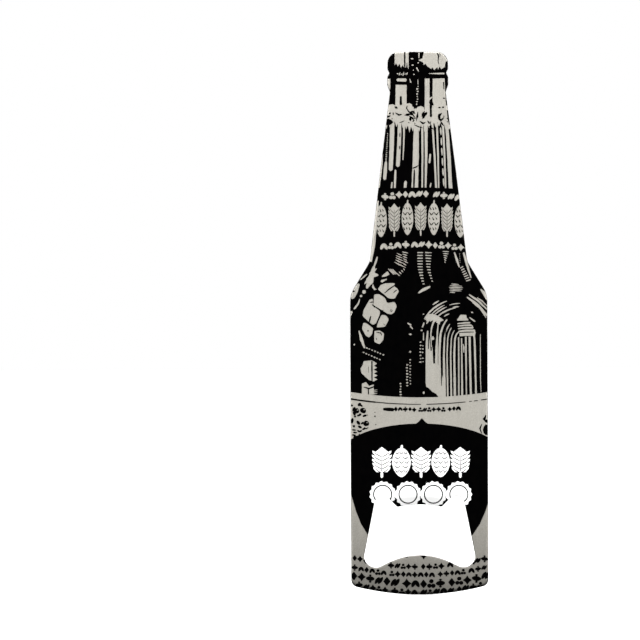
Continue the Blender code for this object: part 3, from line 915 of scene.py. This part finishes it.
def draw_barrel():
    """The main light on the barrel: arcs that turn down into hatching."""
    foot = 196.0
    mid_u, mid_v = 41.5, 253.0

    def polar(radius, degrees, rise=1.0):
        a = math.radians(degrees)
        return (mid_u + radius * math.cos(a), mid_v + radius * rise * math.sin(a))

    # arcs over the top, broken up
    for radius, start, stop, w in ((43.0, 148, 109, 1.8), (40.0, 137, 114, 1.3),
                                   (37.6, 134, 112, 1.4), (34.2, 133, 99, 1.6),
                                   (30.3, 123, 112, 1.3), (38.4, 107, 91, 1.0),
                                   (35.2, 103, 93, 1.4), (46.4, 127, 118, 1.5)):
        spine = [polar(radius, start + (stop - start) * j / 6) for j in range(7)]
        stroke(LIGHT, spine, [w * 0.6, w, w, w * 0.4], 0.14, 12)
    # the bright patch where the arcs meet the hatching
    outer_edge = ((149, 42.0), (143, 42.8), (139, 42.2), (135.5, 40.0), (133.5, 37.0),
                  (132.0, 35.8), (131.0, 33.4), (129.4, 30.6), (128.0, 27.4))
    inner_edge = ((135.5, 28.6), (141.0, 27.2), (142.0, 31.4), (139.0, 31.8), (144.0, 32.8),
                  (142.4, 35.2), (147.0, 36.6), (144.0, 38.6), (149.6, 40.0), (147.0, 41.0))
    lay(LIGHT, [polar(r, a) for a, r in outer_edge + inner_edge])
    # solid light at the left, its foot rounded
    lay(LIGHT, [(6.4, 252.0), (6.3, 212.0), (7.0, 207.8), (9.6, 206.6), (13.0, 203.0),
                (17.0, 200.8), (20.0, foot), (27.0, foot), (24.6, 212.0), (21.8, 226.0),
                (18.9, 229.6), (18.2, 236.0), (16.4, 246.0), (16.2, 231.4), (14.0, 231.2),
                (13.4, 246.0), (12.6, 250.0), (12.4, 244.0), (11.4, 243.6), (10.6, 252.0),
                (9.8, 258.0), (9.6, 246.2), (8.6, 245.4), (8.2, 252.0)])
    for spine, widths in (
            (((8.4, 263.6), (7.8, 256.0), (7.4, 244.0)), (1.4, 2.3, 2.2)),
            (((14.6, 273.6), (12.4, 267.4), (11.6, 261.0), (12.0, 248.0)), (1.8, 1.3, 0.9)),
            (((18.8, 270.6), (18.2, 262.0), (17.4, 248.0), (17.2, 232.0)), (1.2, 1.7, 2.6, 2.8)),
            (((9.6, 275.0), (7.4, 271.2)), (2.4, 1.0)),
            (((4.6, 272.0), (4.0, 269.4), (2.9, 267.6)), (1.2, 1.6, 1.2)),
            (((4.3, 262.0), (4.2, 254.6)), (0.8, 1.2))):
        stroke(LIGHT, spine, list(widths), 0.1, 10)
    blob(LIGHT, 13.7, 256.6, 1.2, 2.2, 9, 0.15)
    # hatching: each line starts on its own arc and runs down to the label
    for u, w_top, w_foot, reach in ((20.6, 2.0, 2.6, 131), (25.1, 1.4, 2.7, 132),
                                    (28.3, 1.2, 1.6, 135), (31.9, 1.2, 1.7, 131),
                                    (35.5, 1.8, 2.4, 105)):
        radius = mid_u - u
        spine = [polar(radius, reach + (180 - reach) * j / 6, (3.0 + 1.27 * radius) / radius)
                 for j in range(7)]
        spine += [(u - 0.5, 240.0), (u + 0.2, foot)]
        stroke(LIGHT, spine, [w_top * 0.7, w_top * 1.1, (w_top + w_foot) / 2, w_foot, w_foot],
               0.05, 24, False)
    for u, top, w_top, w_foot, lean in ((39.4, 257.6, 1.3, 1.5, 0.2), (42.3, 256.6, 1.3, 2.0, 0.7),
                                        (46.5, 258.2, 1.9, 1.1, 0.7), (50.3, 258.2, 2.2, 2.0, 1.4)):
        stroke(LIGHT, [(u, top), (u + lean * 0.3, 240.0), (u + lean, foot)],
               [w_top, (w_top + w_foot) / 2, w_foot], 0.06, 18, False)
    stroke(LIGHT, [(54.0, 262.0), (55.2, 257.0), (55.8, 240.0), (56.8, foot + 4)],
           [1.7, 2.0, 1.7, 1.8], 0.05, 20, False)
    stroke(LIGHT, [(61.0, 260.6), (61.2, 216.0), (61.8, 203.0)], [0.6, 0.9, 0.7], 0.1)
    stroke(LIGHT, [(43.6, 250.6), (44.6, 248.0), (44.6, 242.4)], [0.8, 1.8, 1.0], 0.15, 6)
    # black cuts that the light is split by, and the wedge under it
    stroke(BLACK, [(26.6, 266.0), (26.4, 252.0), (26.6, 236.0)], [0.9, 0.9, 0.4], 0.1, 12)
    stroke(BLACK, [(23.4, 262.0), (22.6, 236.0), (22.2, 209.0)], [2.2, 2.1, 0.5], 0.05, 16)
    lay(BLACK, [(-4.0, 201.0), (5.0, 203.0), (9.6, 205.2), (12.8, 201.6), (18.8, 199.0),
                (18.2, 196.8), (10.0, 196.8)])
    blob(LIGHT, 4.4, 202.0, 1.0, 1.5, 7, 0.2)
    # label seen through the glass: a small stack of lines
    lay(LIGHT, soft([(41.0, 280.0), (47.2, 280.0), (47.4, 276.6), (49.2, 275.6),
                     (49.0, 274.2), (37.6, 274.0), (37.8, 275.2), (39.6, 277.4)], 0.8))
    for v, end, w in ((272.0, 50.6, 1.6), (269.6, 52.0, 1.7), (267.0, 53.6, 1.8),
                      (264.2, 55.2, 2.2)):
        stroke(LIGHT, [(38.4 + 0.15 * (272 - v), v - 0.9), (46.0, v - 0.1), (end, v)],
               [w * 0.7, w, w], 0.08, 8)
    lay(LIGHT, [(40.3, 258.4), (40.2, 261.8), (54.6, 262.4), (55.6, 264.6), (56.4, 262.0),
                (55.6, 258.8), (47.0, 258.9)])
    stroke(LIGHT, [(52.9, 269.0), (53.2, 266.6)], [1.4, 1.6], 0.1, 3)
    stroke(LIGHT, [(50.4, 277.2), (55.6, 273.4)], [1.0, 1.5, 1.2], 0.15, 5)
    blob(LIGHT, 52.8, 282.4, 1.0, 0.8, 6, 0.25)
    blob(LIGHT, 2.4, 264.4, 1.1, 0.8, 6, 0.2)
    blob(LIGHT, 4.2, 280.6, 0.8, 0.7, 6, 0.25)


def leaf(tone, u, v, length, width, degrees):
    """A pointed grain that lies at an angle about its centre."""
    c, d = math.cos(math.radians(degrees)), math.sin(math.radians(degrees))
    ring = []
    for k in range(12):
        a = 2 * math.pi * k / 12
        x = math.cos(a) * length / 2
        y = math.sin(a) * width / 2 * (1 - 0.22 * math.cos(a) ** 2)
        ring.append((u + x * c - y * d, v + x * d + y * c))
    lay(tone, ring)


def ornament_row(tone, u0, u1, v_of, height, group=6, gap=2.2, close=0.12):
    """A worn border of grains, beads, stars and lozenges, run in groups."""
    u = u0
    left = group
    last = -1
    while u < u1:
        h = height * dice.uniform(0.92, 1.06)
        kind = dice.randrange(6)
        if kind == last:
            kind = (kind + 1) % 6
        last = kind
        v = v_of(u + 0.4 * h) + dice.uniform(-0.06, 0.06) * height
        if kind == 0:                      # lozenge
            w = h * 0.86
            lay(tone, soft([(u, v), (u + w / 2, v - h * 0.54), (u + w, v),
                            (u + w / 2, v + h * 0.54)], h * 0.07))
        elif kind == 1:                    # two grains leaning together
            w = h * 1.04
            leaf(tone, u + w * 0.27, v, h * 1.0, h * 0.50, 62)
            leaf(tone, u + w * 0.72, v, h * 1.0, h * 0.50, 118)
        elif kind == 2:                    # three beads
            w = h * 0.90
            for x, y in ((0.24, -0.26), (0.76, -0.26), (0.5, 0.26)):
                blob(tone, u + w * x, v + h * y, h * 0.27, h * 0.25, 9, 0.08)
        elif kind == 3:                    # four-pointed star
            w = h * 1.0
            star = []
            for k in range(8):
                a = math.pi * k / 4
                r = h * (0.58 if k % 2 == 0 else 0.33)
                star.append((u + w / 2 + r * math.cos(a), v + r * math.sin(a)))
            lay(tone, star)
        elif kind == 4:                    # lying grain between two dots
            w = h * 1.16
            leaf(tone, u + w / 2, v, w, h * 0.62, dice.uniform(-8, 8))
            for rise in (-0.42, 0.42):
                blob(tone, u + w / 2, v + rise * h, h * 0.18, h * 0.13, 7, 0.1)
        else:                              # two grains, both leaning right
            w = h * 1.0
            leaf(tone, u + w * 0.28, v, h * 1.04, h * 0.46, 56)
            leaf(tone, u + w * 0.70, v, h * 1.04, h * 0.46, 56)
        u += w + h * close
        left -= 1
        if left <= 0:
            u += gap
            left = group + dice.randrange(-2, 3)


def scroll(tone, u, v, size, turns=1.3, width=1.2, sign=1):
    spine = []
    for k in range(14):
        t = k / 13
        a = sign * 2 * math.pi * turns * t
        r = size * (1 - 0.72 * t)
        spine.append((u + r * math.cos(a), v + r * math.sin(a)))
    stroke(tone, spine, [width * 0.4, width, width * 0.9], 0.12, 14)


def draw_label():
    half = BODY_HALF / GRID + EDGE_OUT

    def top_edge(u):
        return 197.4 + 5.4 * (u / 69.0) ** 2

    field = [(half * (k / 16 - 1), top_edge(half * (k / 16 - 1))) for k in range(33)]
    field += [(half, -6.0), (-half, -6.0)]
    lay(LIGHT, field)
    # thin rule under the border, broken towards the right
    for a, b, w in ((-69.5, -44.0, 1.7), (-44.0, -12.0, 1.0), (-12.0, 1.5, 0.8),
                    (7.5, 46.0, 0.9), (50.0, 52.4, 0.8), (55.0, 58.4, 0.8),
                    (62.0, 70.0, 1.0)):
        spine = [(a + (b - a) * k / 6, top_edge(a + (b - a) * k / 6) - 7.0)
                 for k in range(7)]
        stroke(BLACK, spine, [w, w * 0.9], 0.08, 8)
    stroke(BLACK, [(-35.6, 185.6), (-26.0, 185.2)], [2.6, 3.6, 3.4], 0.05, 6)
    ornament_row(BLACK, -25.4, 38.6, lambda u: 185.2 + 0.6 * (u / 30) ** 2, 4.6, 5, 1.8, 0.02)
    # a spray of berries and small leaves at the left
    for u, v, ru, rv in ((-62.7, 183.9, 2.9, 2.8), (-56.2, 184.2, 3.3, 2.7),
                         (-53.2, 171.2, 2.9, 2.9)):
        blob(BLACK, u, v, ru, rv, 10, 0.12)
        blob(LIGHT, u + 0.35 * ru, v + 0.3 * rv, 0.7, 0.6, 6, 0.15)
    for u, v, length, width, turn in (
            (-65.3, 185.6, 4.4, 2.3, 62), (-65.0, 181.2, 4.2, 2.0, -62),
            (-60.0, 179.8, 4.6, 2.0, 28), (-54.6, 179.0, 4.0, 1.8, 20),
            (-59.8, 190.2, 3.8, 2.5, 38), (-58.0, 189.2, 3.2, 1.6, -40),
            (-60.9, 172.0, 4.6, 2.4, 128), (-59.4, 167.8, 4.0, 2.0, -28),
            (-57.0, 171.6, 3.2, 1.5, 42), (-55.4, 165.8, 3.4, 1.6, 18), (-60.7, 163.6, 3.0, 1.5, -38),
            (-58.6, 163.6, 3.0, 1.5, 40), (-67.0, 174.0, 5.2, 2.2, 84)):
        leaf(BLACK, u, v, length * 1.12, width * 1.3, turn)
    stroke(LIGHT, [(-60.9, 180.4), (-59.2, 183.8)], [0.7, 0.9], 0.1, 4)
    stroke(BLACK, [(-55.0, 167.3), (-53.0, 166.0), (-51.0, 167.2)], [0.7, 1.5, 0.7], 0.1, 6)
    for k in range(5):
        u, v = -66.4 + 1.1 * (k % 2), 165.4 - 2.5 * k
        stroke(BLACK, [(u - 0.6, v - 0.5), (u + 3.2 - 0.3 * k, v + (1.0 if k > 2 else -0.9))],
               [1.0, 1.9, 0.9], 0.2, 5)
    for u, v, r in ((-67.2, 189.2, 1.2), (-64.2, 178.2, 1.2), (-65.4, 168.6, 1.4),
                    (-51.8, 179.7, 0.5), (-44.3, 182.4, 0.6), (-44.3, 178.4, 0.9),
                    (-59.8, 160.2, 0.9), (-43.4, 170.2, 0.6)):
        blob(BLACK, u, v, r, r * 0.9, 7, 0.2)
    blob(BLACK, 67.4, 165.0, 3.6, 5.4, 10, 0.08)
    stroke(BLACK, [(66.6, 179.6), (64.6, 174.8), (68.6, 173.2)], [0.8, 2.8, 3.2], 0.12)
    stroke(BLACK, [(62.6, 170.6), (60.6, 166.0), (62.4, 161.6)], [0.6, 1.8, 0.8], 0.15)
    # badge: a dark oval with a cusp at the top, running off both sides
    badge = []
    for k in range(25):
        t = k / 24
        u = -74 + 148 * t
        v = 171.2 - 12.6 * (abs(u - 2) / 69) ** 2.1 - 2.4 * (abs(u - 2) / 69) ** 8
        badge.append((u, v))
    right = [(74, 110), (71.0, 98), (66.4, 84), (60.8, 71), (53.5, 60), (43, 52),
             (20, 45), (2, 43)]
    badge += right + [(-u + 4 * (1 - k / 8), v) for k, (u, v) in
                      reversed(list(enumerate(right[:-1])))]
    lay(BLACK, badge)
    lay(BLACK, [(-5.6, 169.4), (-1.4, 172.4), (2.6, 176.6), (6.4, 172.6), (11.0, 169.4),
                (2.0, 167.0)])
    # cusp at the foot of the badge, on the fulcrum
    lay(BLACK, [(-2.0, 42.0), (10.4, 42.0), (8.4, 39.4), (6.2, 37.8), (4.4, 35.2), (2.8, 37.6),
                (0.2, 39.2)])
    blob(BLACK, -12.6, 37.9, 1.7, 0.8, 6, 0.2)
    # small print below the window: loose rows above, heavier rows below
    ornament_row(BLACK, -67.0, -53.0, lambda u: 27.6 + 9.6 * (u / 66) ** 2, 6.0, 4, 1.8, 0.03)
    ornament_row(BLACK, -31.6, 33.0, lambda u: 28.0 + 2.0 * (u / 33) ** 2, 5.8, 5, 2.4, 0.06)
    ornament_row(BLACK, 49.0, 68.0, lambda u: 26.4 + 10.4 * (u / 66) ** 2, 6.2, 4, 1.8, 0.03)
    ornament_row(BLACK, -68.0, 65.0, lambda u: 19.8 + 7.8 * (u / 66) ** 2, 5.6, 6, 2.4, 0.06)
    ornament_row(BLACK, -69.0, 69.0, lambda u: 10.8 + 8.4 * (u / 66) ** 2, 8.2, 6, 2.6, 0.04)
    ornament_row(BLACK, -64.0, 62.0, lambda u: 2.6 + 8.4 * (u / 66) ** 2, 6.4, 5, 2.4, 0.06)


def crown_cap(u, v, radius, teeth=15):
    """A crown cap seen from above: fluted skirt, and a ring cut inside."""
    ring = []
    for k in range(teeth * 4):
        a = 2 * math.pi * k / (teeth * 4)
        r = radius * (1 + 0.055 * math.cos(teeth * a))
        ring.append((u + r * math.cos(a), v + r * math.sin(a)))
    lay(WHITE, ring)
    for r, tone in ((0.76, BLACK), (0.66, WHITE)):
        lay(tone, [(u + radius * r * math.cos(2 * math.pi * k / 28),
                    v + radius * r * math.sin(2 * math.pi * k / 28)) for k in range(28)])


def draw_badge_white():
    # upper row: barley, hop, barley, hop, barley
    for k in range(5):
        u = -37.4 + 19.6 * k
        if k % 2:
            hop(WHITE, BLACK, u, 132.2, 9.3, 14.6, 5)
        else:
            bold_barley(WHITE, BLACK, u, 132.8, 9.2, 15.0, 5)
    # lower row: crown caps, which the window cuts
    for k in range(4):
        crown_cap(-36.6 + 25.4 * k, 100.4, 12.7)


def compose():
    draw_crown()
    draw_neck_strips()
    draw_streaks()
    draw_foil()
    draw_shoulder()
    draw_neck_label()
    draw_window()
    draw_left_flank()
    draw_barrel()
    draw_label()
    draw_badge_white()


def ink_sheets(black_material, white_material):
    """Cuts the drawing into separate closed films of black and white ink."""
    compose()
    margin = math.radians(34.0)
    faces = [inset(PATHS[0], margin), inset(PATHS[1], margin)]
    tones = [BLACK, None]
    for polygon, tone in drawing:
        faces.append(polygon)
        tones.append(tone)
    lines = []
    for path in PATHS:
        for degrees in (48, 62, 76, 90):
            ring = inset(path, math.radians(degrees))
            lines.append(ring + [ring[0]])
    lines += tooth_lines()
    points, tris, owners = triangulate(faces, lines)
    flat = [(p.x, p.y) for p in points]
    ys = front_surface(flat)
    sheets = {BLACK: [], WHITE: []}
    for tri, owner in zip(tris, owners):
        if 0 not in owner or 1 in owner:
            continue
        tone = tones[max(owner)]
        if tone in sheets:
            (ax, ay), (bx, by), (cx, cy) = (flat[i] for i in tri)
            if abs((bx - ax) * (cy - ay) - (cx - ax) * (by - ay)) < 2e-7:
                continue
            sheets[tone].append(tri)
    made = []
    for tone, material, name in ((BLACK, black_material, "black_artwork"),
                                 (WHITE, white_material, "white_artwork")):
        verts, faces_out, index = [], [], {}

        def spot(i, layer):
            key = (i, layer)
            if key not in index:
                index[key] = len(verts)
                y = ys[i] - INK_GAP - (INK_THICK if layer else 0.0)
                verts.append((flat[i][0] * MM, y * MM, flat[i][1] * MM))
            return index[key]

        used = {}
        for tri in sheets[tone]:
            for k in range(3):
                used[(tri[k], tri[(k + 1) % 3])] = True
        for tri in sheets[tone]:
            faces_out.append(tuple(spot(i, 1) for i in tri))
            faces_out.append(tuple(spot(i, 0) for i in reversed(tri)))
        for a, b in used:
            if (b, a) not in used:
                faces_out.append((spot(a, 1), spot(a, 0), spot(b, 0), spot(b, 1)))
        obj = mesh_object(name, verts, faces_out, material, smooth=False)
        print(name, "faces", len(faces_out), "shapes", len(drawing))
        made.append(obj)
    return made


# --------------------------------------------------------------- materials
def new_material(name):
    material = bpy.data.materials.new(name)
    material.use_nodes = True
    tree = material.node_tree
    return material, tree, tree.nodes["Principled BSDF"]


def add(tree, kind, **settings):
    node = tree.nodes.new(kind)
    for key, value in settings.items():
        if key in node.inputs:
            node.inputs[key].default_value = value
        else:
            setattr(node, key, value)
    return node


def grain(tree, scale, stretch, detail=4.0, roughness=0.6):
    """Noise that is drawn out along the bottle's axis, as brushing is."""
    where = add(tree, "ShaderNodeTexCoord")
    mapping = add(tree, "ShaderNodeMapping")
    mapping.inputs["Scale"].default_value = (scale, scale, scale / stretch)
    noise = add(tree, "ShaderNodeTexNoise", Detail=detail, Roughness=roughness, Scale=1.0)
    tree.links.new(where.outputs["Object"], mapping.inputs["Vector"])
    tree.links.new(mapping.outputs["Vector"], noise.inputs["Vector"])
    return noise.outputs["Fac"]


def ramp(tree, source, stops):
    node = add(tree, "ShaderNodeValToRGB")
    while len(node.color_ramp.elements) < len(stops):
        node.color_ramp.elements.new(0.5)
    for element, (place, value) in zip(node.color_ramp.elements, stops):
        element.position = place
        value = value if isinstance(value, tuple) else (value, value, value)
        element.color = (*value, 1.0)
    tree.links.new(source, node.inputs["Fac"])
    return node.outputs["Color"]


def mix(tree, factor, a, b, kind="MIX"):
    node = add(tree, "ShaderNodeMix")
    node.data_type = "RGBA"
    node.blend_type = kind
    for value, socket in ((factor, node.inputs[0]), (a, node.inputs[6]), (b, node.inputs[7])):
        if isinstance(value, (int, float)):
            socket.default_value = value
        elif isinstance(value, tuple):
            socket.default_value = (*value, 1.0)
        else:
            tree.links.new(value, socket)
    return node.outputs[2]


# painted shade: a height ramp that darkens the steel's colour towards the base
FOOT_SHADE_BAND = 40.0           # mm above the base over which the steel darkens
FOOT_SHADE_TONES = [(0.0, 0.56), (0.028, 0.47), (0.055, 0.42), (0.115, 0.50), (0.24, 0.61),
              (0.34, 0.65), (0.55, 0.765), (0.82, 0.87), (1.0, 0.935)]


def steel_material():
    material, tree, shader = new_material("brushed_stainless")
    fine = grain(tree, 5200.0, 26.0, 5.0, 0.7)
    broad = grain(tree, 900.0, 14.0, 3.0, 0.6)
    mottle = grain(tree, 420.0, 2.5, 4.0, 0.65)
    pits = grain(tree, 2600.0, 5.0, 2.0, 0.5)
    base = ramp(tree, fine, [(0.25, (0.390, 0.372, 0.330)), (0.5, (0.468, 0.450, 0.404)),
                             (0.78, (0.540, 0.522, 0.476))])
    base = mix(tree, 0.5, base, ramp(tree, broad, [(0.3, (0.420, 0.402, 0.358)),
                                                   (0.7, (0.515, 0.497, 0.450))]))
    base = mix(tree, 0.35, base, ramp(tree, mottle, [(0.35, (0.430, 0.412, 0.366)),
                                                     (0.65, (0.500, 0.482, 0.436))]))
    speck = grain(tree, 3400.0, 1.15, 2.0, 0.75)
    base = mix(tree, 0.55, base, ramp(tree, speck, [(0.30, (0.350, 0.333, 0.296)),
                                                    (0.5, (0.468, 0.450, 0.404)),
                                                    (0.70, (0.590, 0.570, 0.520))]))
    pit_mask = ramp(tree, pits, [(0.70, 0.0), (0.76, 1.0)])
    base = mix(tree, pit_mask, base, (0.34, 0.32, 0.28))
    # painted shade: the steel's colour darkens towards the foot, down to the rolled base edge
    where = add(tree, "ShaderNodeTexCoord")
    parts = add(tree, "ShaderNodeSeparateXYZ")
    tree.links.new(where.outputs["Object"], parts.inputs["Vector"])
    up = add(tree, "ShaderNodeMapRange")
    up.inputs["From Min"].default_value = 0.0
    up.inputs["From Max"].default_value = FOOT_SHADE_BAND * MM
    tree.links.new(parts.outputs["Z"], up.inputs["Value"])
    foot = ramp(tree, up.outputs["Result"], FOOT_SHADE_TONES)
    base = mix(tree, 1.0, base, foot, "MULTIPLY")
    tooth = add(tree, "ShaderNodeAttribute", attribute_name="tooth")
    rim = add(tree, "ShaderNodeAttribute", attribute_name="rim")
    # painted shade: the bent tooth's steel is coloured nearly black for the shade it faces down into;
    # its lower roughness is a smoother pressed finish
    base = mix(tree, tooth.outputs["Fac"], base, (0.105, 0.10, 0.088))
    # painted shade: the steel's colour darkens at the rolled edges, most along the base
    rim_shade_tone = ramp(tree, rim.outputs["Fac"], [(0.0, 0.0), (0.35, 0.28), (1.0, 0.70)])
    base = mix(tree, rim_shade_tone, base, (0.085, 0.083, 0.086))
    tree.links.new(base, shader.inputs["Base Color"])
    shader.inputs["Metallic"].default_value = 1.0
    rough = ramp(tree, fine, [(0.3, 0.44), (0.7, 0.56)])
    rough = mix(tree, tooth.outputs["Fac"], rough, (0.34, 0.34, 0.34))
    tree.links.new(rough, shader.inputs["Roughness"])
    scratch = grain(tree, 3600.0, 60.0, 6.0, 0.8)
    height = mix(tree, 0.35, scratch, mottle)
    bump = add(tree, "ShaderNodeBump", Strength=0.35, Distance=0.00006)
    tree.links.new(height, bump.inputs["Height"])
    tree.links.new(bump.outputs["Normal"], shader.inputs["Normal"])
    return material


def ink_material(name, low, high, rough, specular):
    material, tree, shader = new_material(name)
    cloud = grain(tree, 700.0, 1.6, 4.0, 0.6)
    thread = grain(tree, 4200.0, 30.0, 4.0, 0.7)
    colour = ramp(tree, cloud, [(0.3, low), (0.7, high)])
    tree.links.new(colour, shader.inputs["Base Color"])
    shader.inputs["Metallic"].default_value = 0.0
    shader.inputs["Specular IOR Level"].default_value = specular
    tree.links.new(ramp(tree, mix(tree, 0.5, cloud, thread),
                        [(0.3, rough - 0.06), (0.7, rough + 0.08)]),
                   shader.inputs["Roughness"])
    bump = add(tree, "ShaderNodeBump", Strength=0.18, Distance=0.00004)
    tree.links.new(mix(tree, 0.6, cloud, thread), bump.inputs["Height"])
    tree.links.new(bump.outputs["Normal"], shader.inputs["Normal"])
    return material


steel = steel_material()
black = ink_material("black_print", (0.0002, 0.0002, 0.0003), (0.0006, 0.0005, 0.0005), 0.36, 0.01)
white = ink_material("white_print", (0.94, 0.94, 0.935), (0.98, 0.98, 0.975), 0.36, 0.3)

# ------------------------------------------------------------------ pieces
stamping = steel_body(steel)
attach(stamping, "root")
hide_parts("opener_body")

black_art, white_art = ink_sheets(black, white)
for piece, node in ((black_art, "black_ink"), (white_art, "white_ink")):
    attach(piece, "root")
    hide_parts(node)

# --------------------------------------------------------- floor and light
def stage_plane(name, corners, colour):
    """A pale sheet; what the steel mirrors of it is dimmed, as black flags
    beside a product table dim it."""
    mesh = bpy.data.meshes.new(name)
    mesh.from_pydata(corners, [], [(0, 1, 2, 3)])
    obj = bpy.data.objects.new(name, mesh)
    bpy.context.scene.collection.objects.link(obj)
    material, tree, shader = new_material(name + "_paper")
    paper = grain(tree, 60.0, 1.0, 3.0, 0.5)
    tree.links.new(ramp(tree, paper, [(0.3, tuple(c * 0.985 for c in colour)), (0.7, colour)]),
                   shader.inputs["Base Color"])
    shader.inputs["Roughness"].default_value = 0.9
    shader.inputs["Specular IOR Level"].default_value = 0.1
    flagged = add(tree, "ShaderNodeBsdfDiffuse", Color=(0.10, 0.10, 0.10, 1.0))
    kind = add(tree, "ShaderNodeLightPath")
    choice = add(tree, "ShaderNodeMixShader")
    tree.links.new(kind.outputs["Is Camera Ray"], choice.inputs[0])
    tree.links.new(flagged.outputs[0], choice.inputs[1])
    tree.links.new(shader.outputs[0], choice.inputs[2])
    tree.links.new(choice.outputs[0], tree.nodes["Material Output"].inputs["Surface"])
    mesh.materials.append(material)
    return obj


stage_plane("floor", [(-8, -8, 0), (8, -8, 0), (8, 9, 0), (-8, 9, 0)],
            (0.95, 0.95, 0.95))


def area_light(name, place, aim, size_x, size_y, power):
    data = bpy.data.lights.new(name, "AREA")
    data.shape = "RECTANGLE"
    data.size, data.size_y = size_x, size_y
    data.energy = power
    lamp = bpy.data.objects.new(name, data)
    lamp.location = place
    lamp.rotation_euler = (Vector(aim) - Vector(place)).to_track_quat("-Z", "Y").to_euler()
    bpy.context.scene.collection.objects.link(lamp)
    return lamp


area_light("key_softbox", (-0.03, -0.44, 0.56), (0.0, 0.0, 0.13), 0.46, 0.26, 4.0)
area_light("left_softbox", (-1.30, -1.40, 0.31), (0.0, 0.0, 0.07), 1.0, 0.6, 25.6)
area_light("right_softbox", (1.30, -1.40, 0.31), (0.0, 0.0, 0.07), 1.0, 0.6, 25.6)
for side in (-1, 1):               # the same behind the opener, for its bare face
    area_light("back_softbox", (1.30 * side, 1.40, 0.31), (0.0, 0.0, 0.07), 1.0, 0.6, 21.6)
area_light("back_key_softbox", (0.03, 0.44, 0.56), (0.0, 0.0, 0.13), 0.46, 0.26, 4.0)

sun_data = bpy.data.lights.new("top_light", "SUN")
sun_data.energy = 3.7
sun_data.angle = math.radians(70.0)
sun = bpy.data.objects.new("top_light", sun_data)
sun.rotation_euler = (math.radians(-3.0), 0.0, 0.0)
bpy.context.scene.collection.objects.link(sun)

world = bpy.data.worlds.new("studio")
bpy.context.scene.world = world
world.use_nodes = True
tree = world.node_tree
tree.nodes.clear()
seen = add(tree, "ShaderNodeBackground", Color=(1.0, 1.0, 1.0, 1.0), Strength=1.0)
felt = add(tree, "ShaderNodeBackground", Color=(1.0, 1.0, 1.0, 1.0), Strength=0.12)
path_kind = add(tree, "ShaderNodeLightPath")
choose = add(tree, "ShaderNodeMixShader")
out = add(tree, "ShaderNodeOutputWorld")
tree.links.new(path_kind.outputs["Is Camera Ray"], choose.inputs[0])
tree.links.new(felt.outputs[0], choose.inputs[1])
tree.links.new(seen.outputs[0], choose.inputs[2])
tree.links.new(choose.outputs[0], out.inputs["Surface"])

bpy.context.scene.view_settings.view_transform = "Standard"
bpy.context.scene.view_settings.look = "None"

# ------------------------------------------------------------------ camera
SPAN = 640 * GRID * MM             # what the frame takes in at the opener
DISTANCE = 2.0
camera_data = bpy.data.cameras.new("camera")
camera_data.sensor_width = 36.0
camera_data.lens = 36.0 * (DISTANCE - FRONT_Y * MM * -1) / SPAN
camera_data.clip_end = 60.0
camera = bpy.data.objects.new("camera", camera_data)
camera.location = (-(418.8 - 320) * GRID * MM, -DISTANCE, (595.15 - 320) * GRID * MM)
camera.rotation_euler = (math.radians(90.0), LEAN, 0.0)
bpy.context.scene.collection.objects.link(camera)
bpy.context.scene.camera = camera
